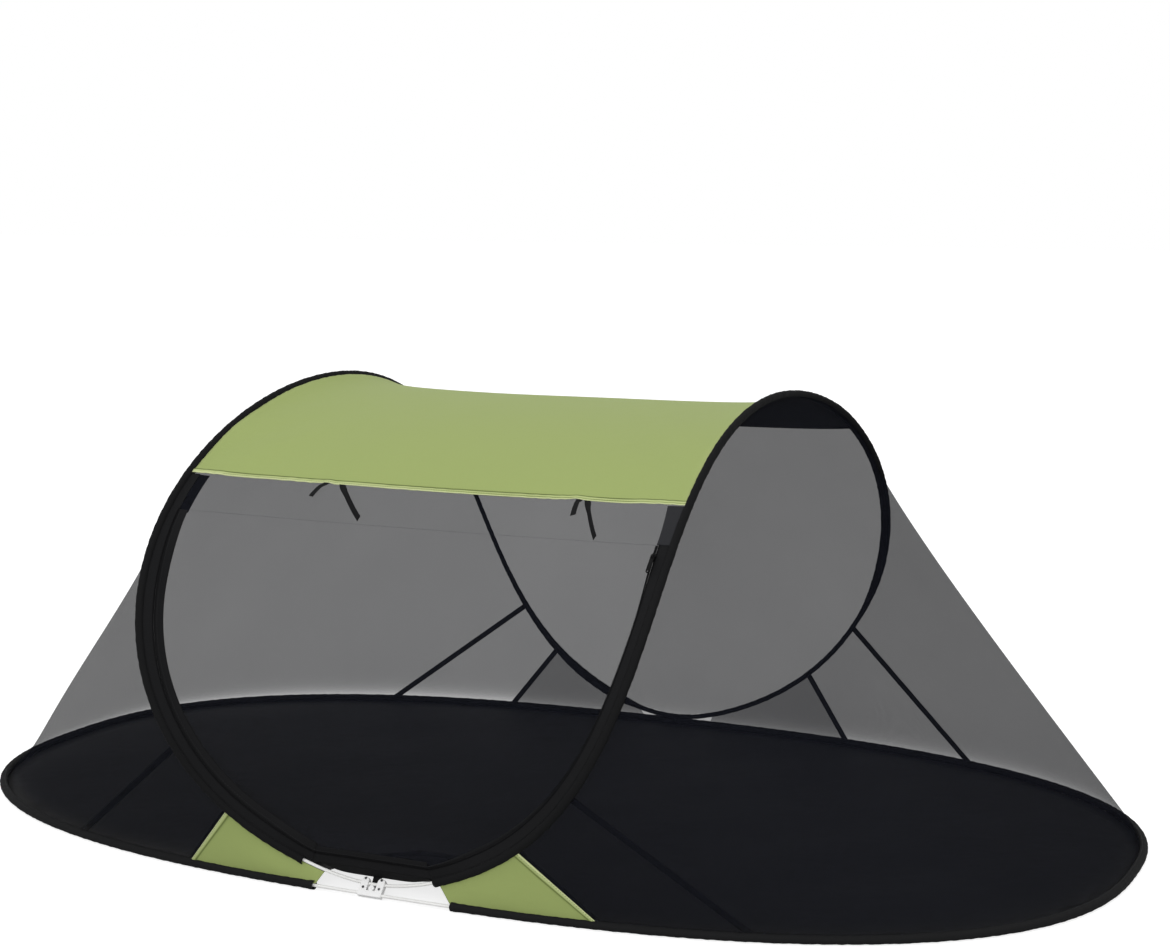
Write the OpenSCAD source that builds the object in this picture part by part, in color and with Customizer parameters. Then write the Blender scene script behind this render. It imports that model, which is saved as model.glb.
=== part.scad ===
// Pop up net shelter for plants: two sprung hoops, a net skin, a cloth roof and a zipped front door.
// The floor's centre on the ground is the origin. +X runs along the shelter, -Y is the door side.

/* [Floor and base hoop] */
// Length of the shelter over the base sleeve
floor_length = 2000; // [1600:10:2400]
// Width of the shelter over the base sleeve
floor_width = 1200; // [1000:10:1450]
// Squareness of the floor outline, where 2 is an ellipse
floor_squareness = 2.5; // [2:0.1:3]
// Thickness of the floor sheet
floor_thickness = 1.5; // [1:0.1:2.5]
// Outside diameter of the base sleeve
base_sleeve_d = 15; // [13:0.5:18]
// Half the width of the opening in the base sleeve at the clip
base_gap_half = 115; // [95:1:140]
// How far the floor is cut back behind the clip
floor_notch_depth = 215; // [120:5:300]

/* [Roof hoop] */
// Half the distance between the two high points
roof_half_span = 412; // [350:1:480]
// How far the hoop swells sideways below its high points
roof_side_swell = 83; // [60:1:100]
// How far the hoop bellies out in front of its foot
roof_belly = 121; // [90:1:140]
// Height of the high points above the shoulders of the foot
roof_rise = 683; // [560:1:820]
// How far the clip pulls the foot down
foot_dip = 8.5; // [4:0.5:12]
// How far the foot stands inside the base hoop
foot_setback = 11; // [9:0.5:16]
// Height of the foot above the base hoop
foot_step = 12; // [11:0.5:18]
// Outside diameter of the roof sleeve
roof_sleeve_d = 15; // [13:0.5:18]
// Place round the hoop where the roof sleeve stops beside the clip, in degrees from the ridge
roof_gap_turn = 82; // [80:0.5:84]

/* [Hoop rods] */
// Diameter of both rods
rod_d = 5; // [4:0.1:6]
// Wall of the ferrule that joins a rod's ends
ferrule_wall = 0.8; // [0.5:0.1:1.2]
// Length of a ferrule
ferrule_length = 56; // [40:1:80]

/* [Hoop clip] */
// Width of the clip along the hoops
clip_width = 39; // [34:1:46]
// Width of each upright
clip_upright = 12; // [9:0.5:14]
// Thickness of each half of the clip
clip_half = 4; // [3.5:0.1:4.5]
// Plastic left past the bores
clip_margin = 1.6; // [1.2:0.1:2]
// Height of the rounded heads above the upper bore
clip_head = 5.8; // [5:0.1:8]
// Diameter of the clip's screws
screw_d = 2; // [1.6:0.1:2.4]
// Diameter of a screw's head
screw_head_d = 3.8; // [3:0.1:4.5]
// Height of a screw's head
screw_head_height = 1; // [0.8:0.1:1.4]
// Diameter of the round boss between the uprights
clip_boss_d = 9.2; // [7:0.1:10]

/* [Roof and walls] */
// Thickness of the net and cloth sheets
sheet = 1; // [0.8:0.1:1.4]
// Roof cloth in front of the ridge, measured along the cloth
canopy_front = 438; // [350:2:470]
// Roof cloth behind the ridge, measured along the cloth
canopy_back = 378; // [300:2:460]
// Ridge to the top of the door, measured along the cloth
door_top = 514; // [490:2:560]
// Place of the outer wall seams round the roof hoop, in degrees from the ridge
outer_seam_turn = 60; // [54:0.5:64]
// Place of the outer wall seams round the base hoop, in degrees from its end
outer_seam_foot = 59.4; // [54:0.2:64]
// Place of the gusset seams round the roof hoop, in degrees from the ridge
gusset_seam_turn = 69; // [66:0.5:73]
// Place of the gusset seams round the base hoop, in degrees from its end
gusset_seam_foot = 74.6; // [70:0.2:78]
// Place round the roof hoop where the back gussets end, in degrees from the ridge
back_gusset_end = 84; // [80:0.5:86]
// Width of a seam tape
tape_width = 10; // [8:0.5:14]
// Thickness of a tape or ribbon
tape = 0.8; // [0.6:0.1:1.2]

/* [Zip and ties] */
// Width of the fixed half of the zip tape
zip_fixed_width = 15; // [12:0.5:18]
// Width of the door's half of the zip tape
zip_door_width = 14; // [12:0.5:18]
// Distance of the closed slider below the door's top edge
slider_drop = 24; // [20:1:40]
// Length of the slider
slider_length = 12; // [10:0.5:15]
// Width of the slider
slider_width = 8; // [7:0.5:10]
// Height of the slider's body
slider_height = 3.2; // [2.6:0.1:4]
// Wall of the slider's arch
arch_wall = 1; // [0.8:0.1:1.3]
// How far the slider's tail and the pull stand in from the slider's sides
slider_shoulder = 1; // [0.8:0.1:1.4]
// Length of the pull
pull_length = 28; // [20:1:36]
// Thickness of the pull
pull_thickness = 1.6; // [1.2:0.1:2.2]
// Length of a long tie
tie_long = 82; // [50:1:90]
// Length of a short tie
tie_short = 34; // [20:1:45]
// Width of a tie
tie_width = 10; // [8:0.5:14]
// Place of the left pair of ties from the middle
tie_left_x = 160; // [120:1:220]
// Place of the right pair of ties from the middle
tie_right_x = 262; // [220:1:300]
// Half the distance between the roots of the left pair
tie_left_spread = 14; // [8:1:24]
// Half the distance between the roots of the right pair
tie_right_spread = 8; // [8:1:24]
// Lean of the left pair's short tie, in degrees towards +X
tie_left_short_lean = -24; // [-45:1:45]
// Lean of the left pair's long tie, in degrees towards +X
tie_left_long_lean = 40; // [-45:1:45]
// Lean of the right pair's short tie, in degrees towards +X
tie_right_short_lean = 4; // [-45:1:45]
// Lean of the right pair's long tie, in degrees towards +X
tie_right_long_lean = 27; // [-45:1:45]

/* [Clearances] */
// Gap between sewn edges
sewn_gap = 0.4; // [0.3:0.05:0.6]
// Gap around a rod in its ferrule, and a ferrule in its sleeve
rod_gap = 0.25; // [0.2:0.05:0.4]
// Gap between pieces that move past each other
moving_gap = 0.6; // [0.5:0.05:1]
// Play of a screw in its hole, over its diameter
screw_play = 0.2; // [0.1:0.05:0.4]

/* [Hidden] */

black_cloth = [0.09, 0.09, 0.1];
black_net = [0.28, 0.28, 0.3];
green_cloth = [0.62, 0.68, 0.43];
white_rod = [0.95, 0.95, 0.95];
dark_metal = [0.2, 0.2, 0.2];

// Both hoops are drawn with an odd count of straight runs, so that one run crosses the clip
hoop_runs = 121;
base_runs = 97;
sides = 8;
flat_share = cos(180 / sides);
rod_r = rod_d / 2;
ferrule_r = rod_r + rod_gap + ferrule_wall;
sleeve_bore_r = ferrule_r + rod_gap;
base_sleeve_r = base_sleeve_d / 2;
roof_sleeve_r = roof_sleeve_d / 2;
base_z = base_sleeve_r * flat_share;
base_half_length = floor_length / 2 - base_sleeve_r;
base_half_width = floor_width / 2 - base_sleeve_r;
foot_y = base_half_width - foot_setback;
foot_z = base_z + foot_step;
// Power that keeps the dip of the foot local to the clip
dip_power = 80;
sleeve_inset = roof_sleeve_r * flat_share + sewn_gap;
zip_line = sleeve_inset + zip_fixed_width + moving_gap / 2;
// A turn too small to see, which parts the ends of two sleeves or panels
parting_turn = 0.03;
// Half of the turn over which a slope is taken
slope_turn = 0.5;
// Least turn between the end of a sheet and the next corner of its hoop
corner_room = 0.2;
// The roof cloth has no slope to speak of beyond this row
last_row = 89;
// How far a cut runs past the solid that it cuts, and how far two joined strips lap
lap = 1;
// A flat tape stands off the wall by this share of its width, because the wall bows under it
bow_share = 1 / 16;

// Base hoop

function signed_power(v, power) = sign(v) * pow(abs(v), power);
function base_curve(s) = [
    base_half_length * signed_power(cos(s), 2 / floor_squareness),
    base_half_width * signed_power(sin(s), 2 / floor_squareness),
    base_z
];
base_turns = [for (i = [0 : base_runs]) 90 + i * 360 / base_runs];
base_x = [for (s = base_turns) [s, base_curve(s)[0]]];
base_y = [for (s = base_turns) [s, base_curve(s)[1]]];
// Every turn round a hoop is counted from the back, so that the clip is half way round
function from_back(turn) = turn < 90 ? turn + 360 : turn;
function base_point(s) = [lookup(from_back(s), base_x), lookup(from_back(s), base_y), base_z];
function base_outward(s) =
    let (run = base_curve(s + slope_turn) - base_curve(s - slope_turn))
    [run[1], -run[0], 0] / norm(run);

// Roof hoop

function hoop_curve(t) = [
    (roof_half_span + roof_side_swell) * cos(t) - roof_side_swell * cos(3 * t),
    (foot_y + roof_belly) * sin(t) + roof_belly * sin(3 * t),
    foot_z + roof_rise * pow(cos(t), 2) + foot_dip * (1 - pow(abs(sin(t)), dip_power))
];
hoop_turns = [for (i = [0 : hoop_runs]) 90 + i * 360 / hoop_runs];
hoop_x = [for (t = hoop_turns) [t, hoop_curve(t)[0]]];
hoop_y = [for (t = hoop_turns) [t, hoop_curve(t)[1]]];
hoop_z = [for (t = hoop_turns) [t, hoop_curve(t)[2]]];
function hoop_point(t) =
    let (turn = from_back(t))
    [lookup(turn, hoop_x), lookup(turn, hoop_y), lookup(turn, hoop_z)];
// Turns between two ends, with every corner of the hoop that lies between them
function turns_between(corners, low, high) =
    concat([low], [for (v = corners) if (v > low + corner_room && v < high - corner_room) v], [high]);

// Roof cloth: straight across between the two sides of the hoop, rolled over the ridge.
// A row is the turn of the hoop's right side, from -90 at the door's foot to 90 at the back.

row_corners = [for (t = hoop_turns) if (t > 270) t - 360];
function row_of(t) = asin(sin(t));
profile_step = 0.5;
profile_count = 90 / profile_step;
function profile(row) = [hoop_curve(row)[1], hoop_curve(row)[2]];
cloth_lengths = [
    for (i = 0, u = 0; i <= profile_count;
        i = i + 1, u = u + norm(profile(i * profile_step) - profile((i - 1) * profile_step)))
        [i * profile_step, u]
];
cloth_rows = [for (pair = cloth_lengths) [pair[1], pair[0]]];
function along_cloth(row) = sign(row) * lookup(abs(row), cloth_lengths);
function row_at(length) = sign(length) * lookup(abs(length), cloth_rows);
function cloth_normal(row) =
    let (
        r = max(-last_row, min(last_row, row)),
        run = profile(r + slope_turn) - profile(r - slope_turn)
    )
    [0, -run[1], run[0]] / norm(run);
function roof_point(x, row, lift) =
    let (p = hoop_point(row))
    [x, p[1], p[2]] + lift * cloth_normal(row);
// A point of the roof cloth at a distance in from the hoop's right side: its x and its row
function inset(row, width) =
    let (
        dx = hoop_curve(row + slope_turn)[0] - hoop_curve(row - slope_turn)[0],
        du = along_cloth(row + slope_turn) - along_cloth(row - slope_turn),
        run = norm([dx, du])
    )
    [hoop_point(row)[0] - width * du / run, row_at(along_cloth(row) + width * dx / run)];

// Solids lofted through rings of points, each ring an even count round a closed outline

function side_faces(count, ring, first, inward) = [
    for (i = [0 : count - 2])
        for (k = [0 : ring - 1])
            let (
                a = first + i * ring + k,
                b = first + i * ring + (k + 1) % ring
            )
            each inward
                ? [[a, b + ring, b], [a, a + ring, b + ring]]
                : [[a, b, b + ring], [a, b + ring, a + ring]]
];
function end_faces(ring, first, turned) = [
    for (k = [0 : ring / 2 - 2])
        let (
            a = first + k,
            b = first + k + 1,
            c = first + ring - 2 - k,
            d = first + ring - 1 - k
        )
        each turned ? [[a, b, c], [a, c, d]] : [[a, c, b], [a, d, c]]
];
module loft(rings) {
    count = len(rings);
    ring = len(rings[0]);
    polyhedron(
        [for (r = rings) each r],
        concat(
            side_faces(count, ring, 0, false),
            end_faces(ring, 0, false),
            end_faces(ring, (count - 1) * ring, true)
        ),
        convexity = 10
    );
}
function rim_faces(ring, outer, inner, turned) = [
    for (k = [0 : ring - 1])
        let (
            a = outer + k,
            b = outer + (k + 1) % ring,
            c = inner + (k + 1) % ring,
            d = inner + k
        )
        each turned ? [[a, b, c], [a, c, d]] : [[a, c, b], [a, d, c]]
];
module hollow_loft(outer, inner) {
    count = len(outer);
    ring = len(outer[0]);
    all = count * ring;
    last = (count - 1) * ring;
    polyhedron(
        concat([for (r = outer) each r], [for (r = inner) each r]),
        concat(
            side_faces(count, ring, 0, false),
            side_faces(count, ring, all, true),
            rim_faces(ring, 0, all, false),
            rim_faces(ring, last, all + last, true)
        ),
        convexity = 10
    );
}

function around(centre, across, over, r) = [
    for (k = [0 : sides - 1])
        let (a = (k + 0.5) * 360 / sides)
        centre + r * (cos(a) * across + sin(a) * over)
];
function base_rings(turns, r) = [for (s = turns) around(base_point(s), -base_outward(s), [0, 0, 1], r)];
function hoop_rings(turns, r) = [
    for (t = turns)
        let (
            over = cloth_normal(row_of(t)),
            run = hoop_curve(t + slope_turn) - hoop_curve(t - slope_turn),
            across = cross(over, run) / norm(run)
        )
        around(hoop_point(t), across, over, r)
];

// Hoops

module base_hoop_rod() {
    color(white_rod)
        loft(base_rings(turns_between(base_turns, 90 + parting_turn, 450 - parting_turn), rod_r));
}
module base_hoop_ferrule() {
    half_turn = asin(pow(ferrule_length / 2 / base_half_length, floor_squareness / 2));
    turns = [90 - half_turn, 90, 90 + half_turn];
    color(dark_metal)
        hollow_loft(base_rings(turns, ferrule_r), base_rings(turns, rod_r + rod_gap));
}
module roof_hoop_rod() {
    color(white_rod)
        loft(hoop_rings(turns_between(hoop_turns, 90 + parting_turn, 450 - parting_turn), rod_r));
}
module roof_hoop_ferrule() {
    // Run of the hoop's curve at its back, in millimetres for each radian
    back_run = roof_half_span + 4 * roof_side_swell;
    half_turn = ferrule_length / 2 / back_run * 180 / PI;
    turns = [90 - half_turn, 90, 90 + half_turn];
    color(dark_metal)
        hollow_loft(hoop_rings(turns, ferrule_r), hoop_rings(turns, rod_r + rod_gap));
}

// Clip: two halves screwed together round both rods, drawn flat and stood on the line between the rods

clip_foot = base_point(270);
clip_reach = hoop_point(270) - clip_foot;
clip_pitch = norm(clip_reach);
clip_rise = clip_reach / clip_pitch;
clip_front_way = cross([1, 0, 0], clip_rise);
clip_bore_r = rod_r + rod_gap;
clip_top = clip_pitch + clip_bore_r + clip_head;
clip_upright_x = (clip_width - clip_upright) / 2;
screw_heights = [clip_pitch / 2, clip_pitch + clip_bore_r + clip_head / 2];
screw_hole_d = screw_d + screw_play;
screw_length = 2 * clip_half - screw_head_height;

module on_clip() {
    multmatrix([
        for (i = [0 : 2]) [[1, 0, 0][i], clip_rise[i], clip_front_way[i], clip_foot[i]]
    ]) children();
}
module clip_outline() {
    head_r = clip_upright / 2;
    bottom = -clip_bore_r - clip_margin;
    difference() {
        union() {
            for (side = [-1, 1])
                translate([side * clip_upright_x, 0]) {
                    translate([-head_r, bottom]) square([clip_upright, clip_top - head_r - bottom]);
                    translate([0, clip_top - head_r]) circle(head_r, $fn = 48);
                }
            translate([-clip_upright_x, bottom])
                square([2 * clip_upright_x, clip_bore_r + clip_margin - bottom]);
            translate([0, clip_pitch / 2]) circle(d = clip_boss_d, $fn = 48);
        }
        for (side = [-1, 1], height = screw_heights)
            translate([side * clip_upright_x, height]) circle(d = screw_hole_d, $fn = 32);
    }
}
module clip_half_solid(side) {
    on_clip() difference() {
        translate([0, 0, side > 0 ? sewn_gap / 2 : -clip_half])
            linear_extrude(clip_half - sewn_gap / 2) clip_outline();
        for (height = [0, clip_pitch])
            translate([0, height, 0]) rotate([0, 90, 0])
                cylinder(2 * clip_width, r = clip_bore_r, center = true, $fn = 48);
    }
}
module hoop_clip_front() {
    color(white_rod) clip_half_solid(1);
}
module hoop_clip_back() {
    color(white_rod) clip_half_solid(-1);
}
module clip_screws() {
    color(dark_metal) on_clip()
        for (side = [-1, 1], height = screw_heights)
            translate([side * clip_upright_x, height, clip_half]) {
                cylinder(screw_head_height, d = screw_head_d, $fn = 32);
                translate([0, 0, -screw_length])
                    cylinder(screw_length + screw_head_height / 2, d = screw_d, $fn = 32);
            }
}

// Floor and sill

floor_inset = base_sleeve_r * sin(180 / sides) + floor_thickness + sewn_gap;
notch_half = base_gap_half - base_sleeve_r;
notch_step = 10;
function notch_point(a) = [notch_half * cos(a), -base_half_width + floor_notch_depth * sin(a)];

module floor_sheet() {
    color(black_cloth) difference() {
        linear_extrude(floor_thickness)
            polygon([
                for (s = [for (i = [0 : base_runs - 1]) base_turns[i]])
                    let (p = base_point(s) - floor_inset * base_outward(s))
                    [p[0], p[1]]
            ]);
        translate([0, 0, -lap]) linear_extrude(floor_thickness + 2 * lap)
            polygon(concat(
                [for (a = [0 : notch_step : 180]) notch_point(a)],
                [[-notch_half, -floor_width], [notch_half, -floor_width]]
            ));
    }
}
// The sill hangs behind the zip's lower edge, and its scoop is sewn round the notch in the floor.
// It bows inwards, so that its ends pass behind the roof rod.
module front_sill() {
    low = inset(-roof_gap_turn, sleeve_inset);
    hem = roof_point(low[0] - tape_width, low[1], -sheet / 2 - sewn_gap - sheet);
    corner = notch_step / 2;
    steps = 12;
    rows = 4;
    function hem_point(i) = [hem[0] * (2 * i / steps - 1), hem[1], hem[2]];
    function foot_point(i) =
        concat(
            notch_point(180 - corner - (180 - 2 * corner) * i / steps) + [0, sewn_gap],
            floor_thickness + sewn_gap
        );
    function straight_point(i, share) = hem_point(i) * (1 - share) + foot_point(i) * share;
    function scoop_normal(i, share) =
        let (
            run = straight_point(min(steps, i + 1), share) - straight_point(max(0, i - 1), share),
            n = cross(run, foot_point(i) - hem_point(i))
        )
        n / norm(n);
    function scoop_point(i, share, lift) =
        straight_point(i, share) + (lift + 4 * share * (1 - share) * rod_d) * scoop_normal(i, share);
    color(black_cloth) loft([
        for (i = [0 : steps])
            concat(
                [for (k = [0 : rows]) scoop_point(i, k / rows, sheet)],
                [for (k = [rows : -1 : 0]) scoop_point(i, k / rows, 0)]
            )
    ]);
}

// Sleeves

module base_sleeve(low, high) {
    turns = turns_between(base_turns, low, high);
    color(black_cloth) hollow_loft(base_rings(turns, base_sleeve_r), base_rings(turns, sleeve_bore_r));
}
module roof_sleeve(low, high) {
    turns = turns_between(hoop_turns, low, high);
    color(black_cloth) hollow_loft(hoop_rings(turns, roof_sleeve_r), hoop_rings(turns, sleeve_bore_r));
}
base_gap_turn = acos(pow(base_gap_half / base_half_length, floor_squareness / 2));
module base_sleeve_left() base_sleeve(90 + parting_turn, 180 + base_gap_turn);
module base_sleeve_right() base_sleeve(360 - base_gap_turn, 450 - parting_turn);
module roof_sleeve_back_left() roof_sleeve(90 + parting_turn, 180 - parting_turn);
module roof_sleeve_front_left() roof_sleeve(180 + parting_turn, 180 + roof_gap_turn);
module roof_sleeve_front_right() roof_sleeve(360 - roof_gap_turn, 360 - parting_turn);
module roof_sleeve_back_right() roof_sleeve(360 + parting_turn, 450 - parting_turn);

// Roof sheets

hem_row = row_at(-canopy_front);
door_row = row_at(-door_top);
back_row = row_at(canopy_back);
function parted(row, gap) = row_at(along_cloth(row) + gap);

// A sheet from one row to another, as wide as the hoop less an inset on each side
module roof_panel(low, high, width, lift, thick) {
    loft([
        for (row = turns_between(row_corners, low, high))
            let (edge = inset(row, width))
            [
                roof_point(-edge[0], edge[1], lift),
                roof_point(edge[0], edge[1], lift),
                roof_point(edge[0], edge[1], lift + thick),
                roof_point(-edge[0], edge[1], lift + thick)
            ]
    ]);
}
// A strip that follows the hoop's right side, between two insets
module roof_strip(low, high, outer, inner, lift, thick) {
    loft([
        for (row = turns_between(row_corners, low, high))
            let (a = inset(row, inner), b = inset(row, outer))
            [
                roof_point(a[0], a[1], lift),
                roof_point(b[0], b[1], lift),
                roof_point(b[0], b[1], lift + thick),
                roof_point(a[0], a[1], lift + thick)
            ]
    ]);
}
module roof_canopy() {
    color(green_cloth) roof_panel(hem_row, back_row, sleeve_inset, -sheet / 2, sheet);
}
module front_net_strip() {
    color(black_net)
        roof_panel(parted(door_row, moving_gap), parted(hem_row, -sewn_gap), sleeve_inset,
            -sheet / 2, sheet);
}
module back_net_panel() {
    color(black_net)
        roof_panel(parted(back_row, sewn_gap), back_gusset_end, sleeve_inset, -sheet / 2, sheet);
}

// Walls

// Length of a slanting line inside a sleeve, up to where a strip on the line clears it
function sleeve_reach(way, run, r, half_strip) =
    let (slant = abs(way * run) / norm(run))
    (r + sewn_gap + half_strip * slant) / sqrt(1 - slant * slant);
// The two ends of a straight line of the right wall, from the roof sleeve to the base sleeve
function wall_line(t, s, half_strip = sheet / 2) =
    let (
        a = hoop_point(t),
        b = base_point(s),
        way = (b - a) / norm(b - a),
        hoop_run = hoop_curve(t + slope_turn) - hoop_curve(t - slope_turn),
        base_run = base_curve(s + slope_turn) - base_curve(s - slope_turn)
    )
    [
        a + way * sleeve_reach(way, hoop_run, roof_sleeve_r, half_strip),
        b - way * sleeve_reach(way, base_run, base_sleeve_r, half_strip)
    ];
// The wall's normal on such a line, which points into the shelter
function wall_normal(t, s, dt, ds, share) =
    let (
        line = wall_line(t, s),
        p = wall_line(t - dt, s - ds),
        q = wall_line(t + dt, s + ds),
        run = (q[0] - p[0]) * (1 - share) + (q[1] - p[1]) * share,
        n = cross(run, line[1] - line[0])
    )
    n / norm(n);
// One sheet of the right wall, between two turns of the roof hoop and two of the base hoop
module wall_sheet(t0, t1, s0, s1) {
    turns = turns_between(row_corners, t0 + parting_turn, t1 - parting_turn);
    rows = 4;
    ds = slope_turn * (s1 - s0) / (t1 - t0);
    loft([
        for (t = turns)
            let (s = s0 + (s1 - s0) * (t - t0) / (t1 - t0), line = wall_line(t, s))
            concat(
                [for (k = [0 : rows])
                    let (share = k / rows)
                    line[0] * (1 - share) + line[1] * share
                        + sheet / 2 * wall_normal(t, s, slope_turn, ds, share)],
                [for (k = [rows : -1 : 0])
                    let (share = k / rows)
                    line[0] * (1 - share) + line[1] * share
                        - sheet / 2 * wall_normal(t, s, slope_turn, ds, share)]
            )
    ]);
}
base_back_end = 90 - (90 - base_gap_turn) / 2;
module right_wall_net()
    color(black_net) wall_sheet(-outer_seam_turn, outer_seam_turn, -outer_seam_foot, outer_seam_foot);
module right_front_net()
    color(black_net) wall_sheet(-gusset_seam_turn, -outer_seam_turn, -gusset_seam_foot, -outer_seam_foot);
module right_back_net()
    color(black_net) wall_sheet(outer_seam_turn, gusset_seam_turn, outer_seam_foot, gusset_seam_foot);
module front_gusset_right()
    color(green_cloth) wall_sheet(-roof_gap_turn, -gusset_seam_turn, -base_gap_turn, -gusset_seam_foot);
module back_gusset_right()
    color(green_cloth) wall_sheet(gusset_seam_turn, back_gusset_end, gusset_seam_foot, base_back_end);
module to_left() mirror([1, 0, 0]) children();
module left_wall_net() to_left() right_wall_net();
module left_front_net() to_left() right_front_net();
module left_back_net() to_left() right_back_net();
module front_gusset_left() to_left() front_gusset_right();
module back_gusset_left() to_left() back_gusset_right();

// A tape sewn over a seam on the inside, along the seam's straight line
module seam_tape(t, s) {
    line = wall_line(t, s, tape_width / 2);
    rows = 3;
    offset_in = sheet / 2 + sewn_gap + tape_width * bow_share;
    along = (line[1] - line[0]) / norm(line[1] - line[0]);
    loft([
        for (k = [0 : rows])
            let (
                share = k / rows,
                n = wall_normal(t, s, slope_turn, slope_turn, share),
                wide = cross(n, along) * tape_width / 2,
                p = line[0] * (1 - share) + line[1] * share + n * offset_in,
                deep = n * tape
            )
            [p - wide, p + wide, p + wide + deep, p - wide + deep]
    ]);
}
module seam_tape_right_front() color(black_cloth) seam_tape(-outer_seam_turn, -outer_seam_foot);
module seam_tape_right_back() color(black_cloth) seam_tape(outer_seam_turn, outer_seam_foot);
module gusset_tape_right_front() color(black_cloth) seam_tape(-gusset_seam_turn, -gusset_seam_foot);
module gusset_tape_right_back() color(black_cloth) seam_tape(gusset_seam_turn, gusset_seam_foot);
module seam_tape_left_front() to_left() seam_tape_right_front();
module seam_tape_left_back() to_left() seam_tape_right_back();
module gusset_tape_left_front() to_left() gusset_tape_right_front();
module gusset_tape_left_back() to_left() gusset_tape_right_back();

// Door and zip

module zip_tape_right()
    color(black_cloth)
        roof_strip(-roof_gap_turn, door_row, sleeve_inset,
            zip_line - moving_gap / 2, -sheet / 2, sheet);
module zip_tape_left() to_left() zip_tape_right();
// The bottom run of the zip tape joins the two sides across the gap in the roof sleeve
module zip_tape_bottom() {
    low = inset(-roof_gap_turn, sleeve_inset);
    high = inset(-roof_gap_turn, zip_line - moving_gap / 2);
    x = min(low[0], high[0]) - sewn_gap;
    color(black_cloth) loft([
        for (row = [low[1], high[1]])
            [
                roof_point(-x, row, -sheet / 2),
                roof_point(x, row, -sheet / 2),
                roof_point(x, row, sheet / 2),
                roof_point(-x, row, sheet / 2)
            ]
    ]);
}
// The flap that the slider parks under, a folded tape that leaves room for the door's tape to turn up
module zip_garage() {
    lift = sheet / 2 + sewn_gap;
    fold_room = lift + tape + 2 * moving_gap;
    color(black_cloth)
        roof_strip(parted(door_row, fold_room), parted(hem_row, -2 * sewn_gap), sleeve_inset,
            zip_line + zip_door_width, lift, 2 * tape);
}
door_edge = zip_line + moving_gap / 2;
door_foot_row = -roof_gap_turn;
module door_net()
    color(black_net) roof_panel(door_foot_row, door_row, door_edge, -sheet / 2, sheet);
// The door's half of the zip tape runs down one side, across the bottom and up the other side
module door_zip_tape() {
    lift = sheet / 2 + sewn_gap;
    low = inset(door_foot_row, door_edge);
    high = inset(door_foot_row, door_edge + zip_door_width);
    color(black_cloth) union() {
        for (side = [0, 1])
            mirror([side, 0, 0])
                roof_strip(door_foot_row, parted(door_row, -sewn_gap), door_edge,
                    door_edge + zip_door_width, lift, tape);
        loft([
            for (row = [low[1], high[1]])
                [
                    roof_point(-high[0] - lap, row, lift),
                    roof_point(high[0] + lap, row, lift),
                    roof_point(high[0] + lap, row, lift + tape),
                    roof_point(-high[0] - lap, row, lift + tape)
                ]
        ]);
    }
}

// Slider on the outside of the zip's right run, drawn flat with its nose towards the door's top edge
slider_row = row_at(-door_top - slider_drop);
slider_at = inset(slider_row, zip_line);
slider_lift = sheet / 2 + sewn_gap + tape + moving_gap;
slider_place = roof_point(slider_at[0], slider_at[1], slider_lift);
slider_out = cloth_normal(slider_at[1]);
slider_run =
    let (
        a = inset(slider_row + 1, zip_line),
        b = inset(slider_row - 1, zip_line),
        run = roof_point(a[0], a[1], 0) - roof_point(b[0], b[1], 0),
        flat_run = run - (run * slider_out) * slider_out
    )
    flat_run / norm(flat_run);
slider_across = cross(slider_out, slider_run);
pin_r = pull_thickness / 2;
pin_play = moving_gap / 2;
arch_bore_r = pull_thickness + 2 * pin_play;
arch_r = arch_bore_r + arch_wall;
arch_width = slider_width / 2 - slider_shoulder;
pin_height = slider_height + pin_play + pin_r;
pull_width = slider_width - 2 * slider_shoulder;
pull_arm = (pull_width - arch_width) / 2 - pin_play;

module on_slider() {
    multmatrix([
        for (i = [0 : 2]) [slider_run[i], slider_across[i], slider_out[i], slider_place[i]]
    ]) children();
}
module zip_slider() {
    tail = slider_width / 2 - slider_shoulder;
    color(dark_metal) on_slider() {
        linear_extrude(slider_height) union() {
            translate([slider_length / 2 - slider_width / 2, 0]) circle(d = slider_width, $fn = 48);
            translate([-slider_length / 2, -tail]) square([slider_length - slider_width / 2, 2 * tail]);
        }
        difference() {
            translate([0, 0, slider_height]) rotate([90, 0, 0])
                cylinder(arch_width, r = arch_r, center = true, $fn = 48);
            translate([0, 0, slider_height]) rotate([90, 0, 0])
                cylinder(2 * slider_width, r = arch_bore_r, center = true, $fn = 48);
            translate([-slider_length, -slider_width, 0])
                cube([2 * slider_length, 2 * slider_width, slider_height / 2]);
        }
    }
}
// The pull hangs down the zip from a pin through the slider's arch
module zip_pull() {
    tab_start = arch_r + pull_thickness + 2 * pin_play;
    color(dark_metal) on_slider() translate([0, 0, pin_height]) {
        rotate([90, 0, 0]) cylinder(pull_width, r = pin_r, center = true, $fn = 32);
        for (side = [-1, 1])
            translate([-tab_start, side > 0 ? pull_width / 2 - pull_arm : -pull_width / 2, -pin_r])
                cube([tab_start, pull_arm, pull_thickness]);
        translate([0, 0, -pin_r]) linear_extrude(pull_thickness) difference() {
            union() {
                translate([-pull_length + pull_width / 2, -pull_width / 2])
                    square([pull_length - pull_width / 2 - tab_start + pull_arm, pull_width]);
                translate([-pull_length + pull_width / 2, 0]) circle(d = pull_width, $fn = 48);
            }
            translate([-pull_length + pull_width / 2, 0]) circle(d = pull_width / 2, $fn = 32);
        }
    }
}

// Ties

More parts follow.
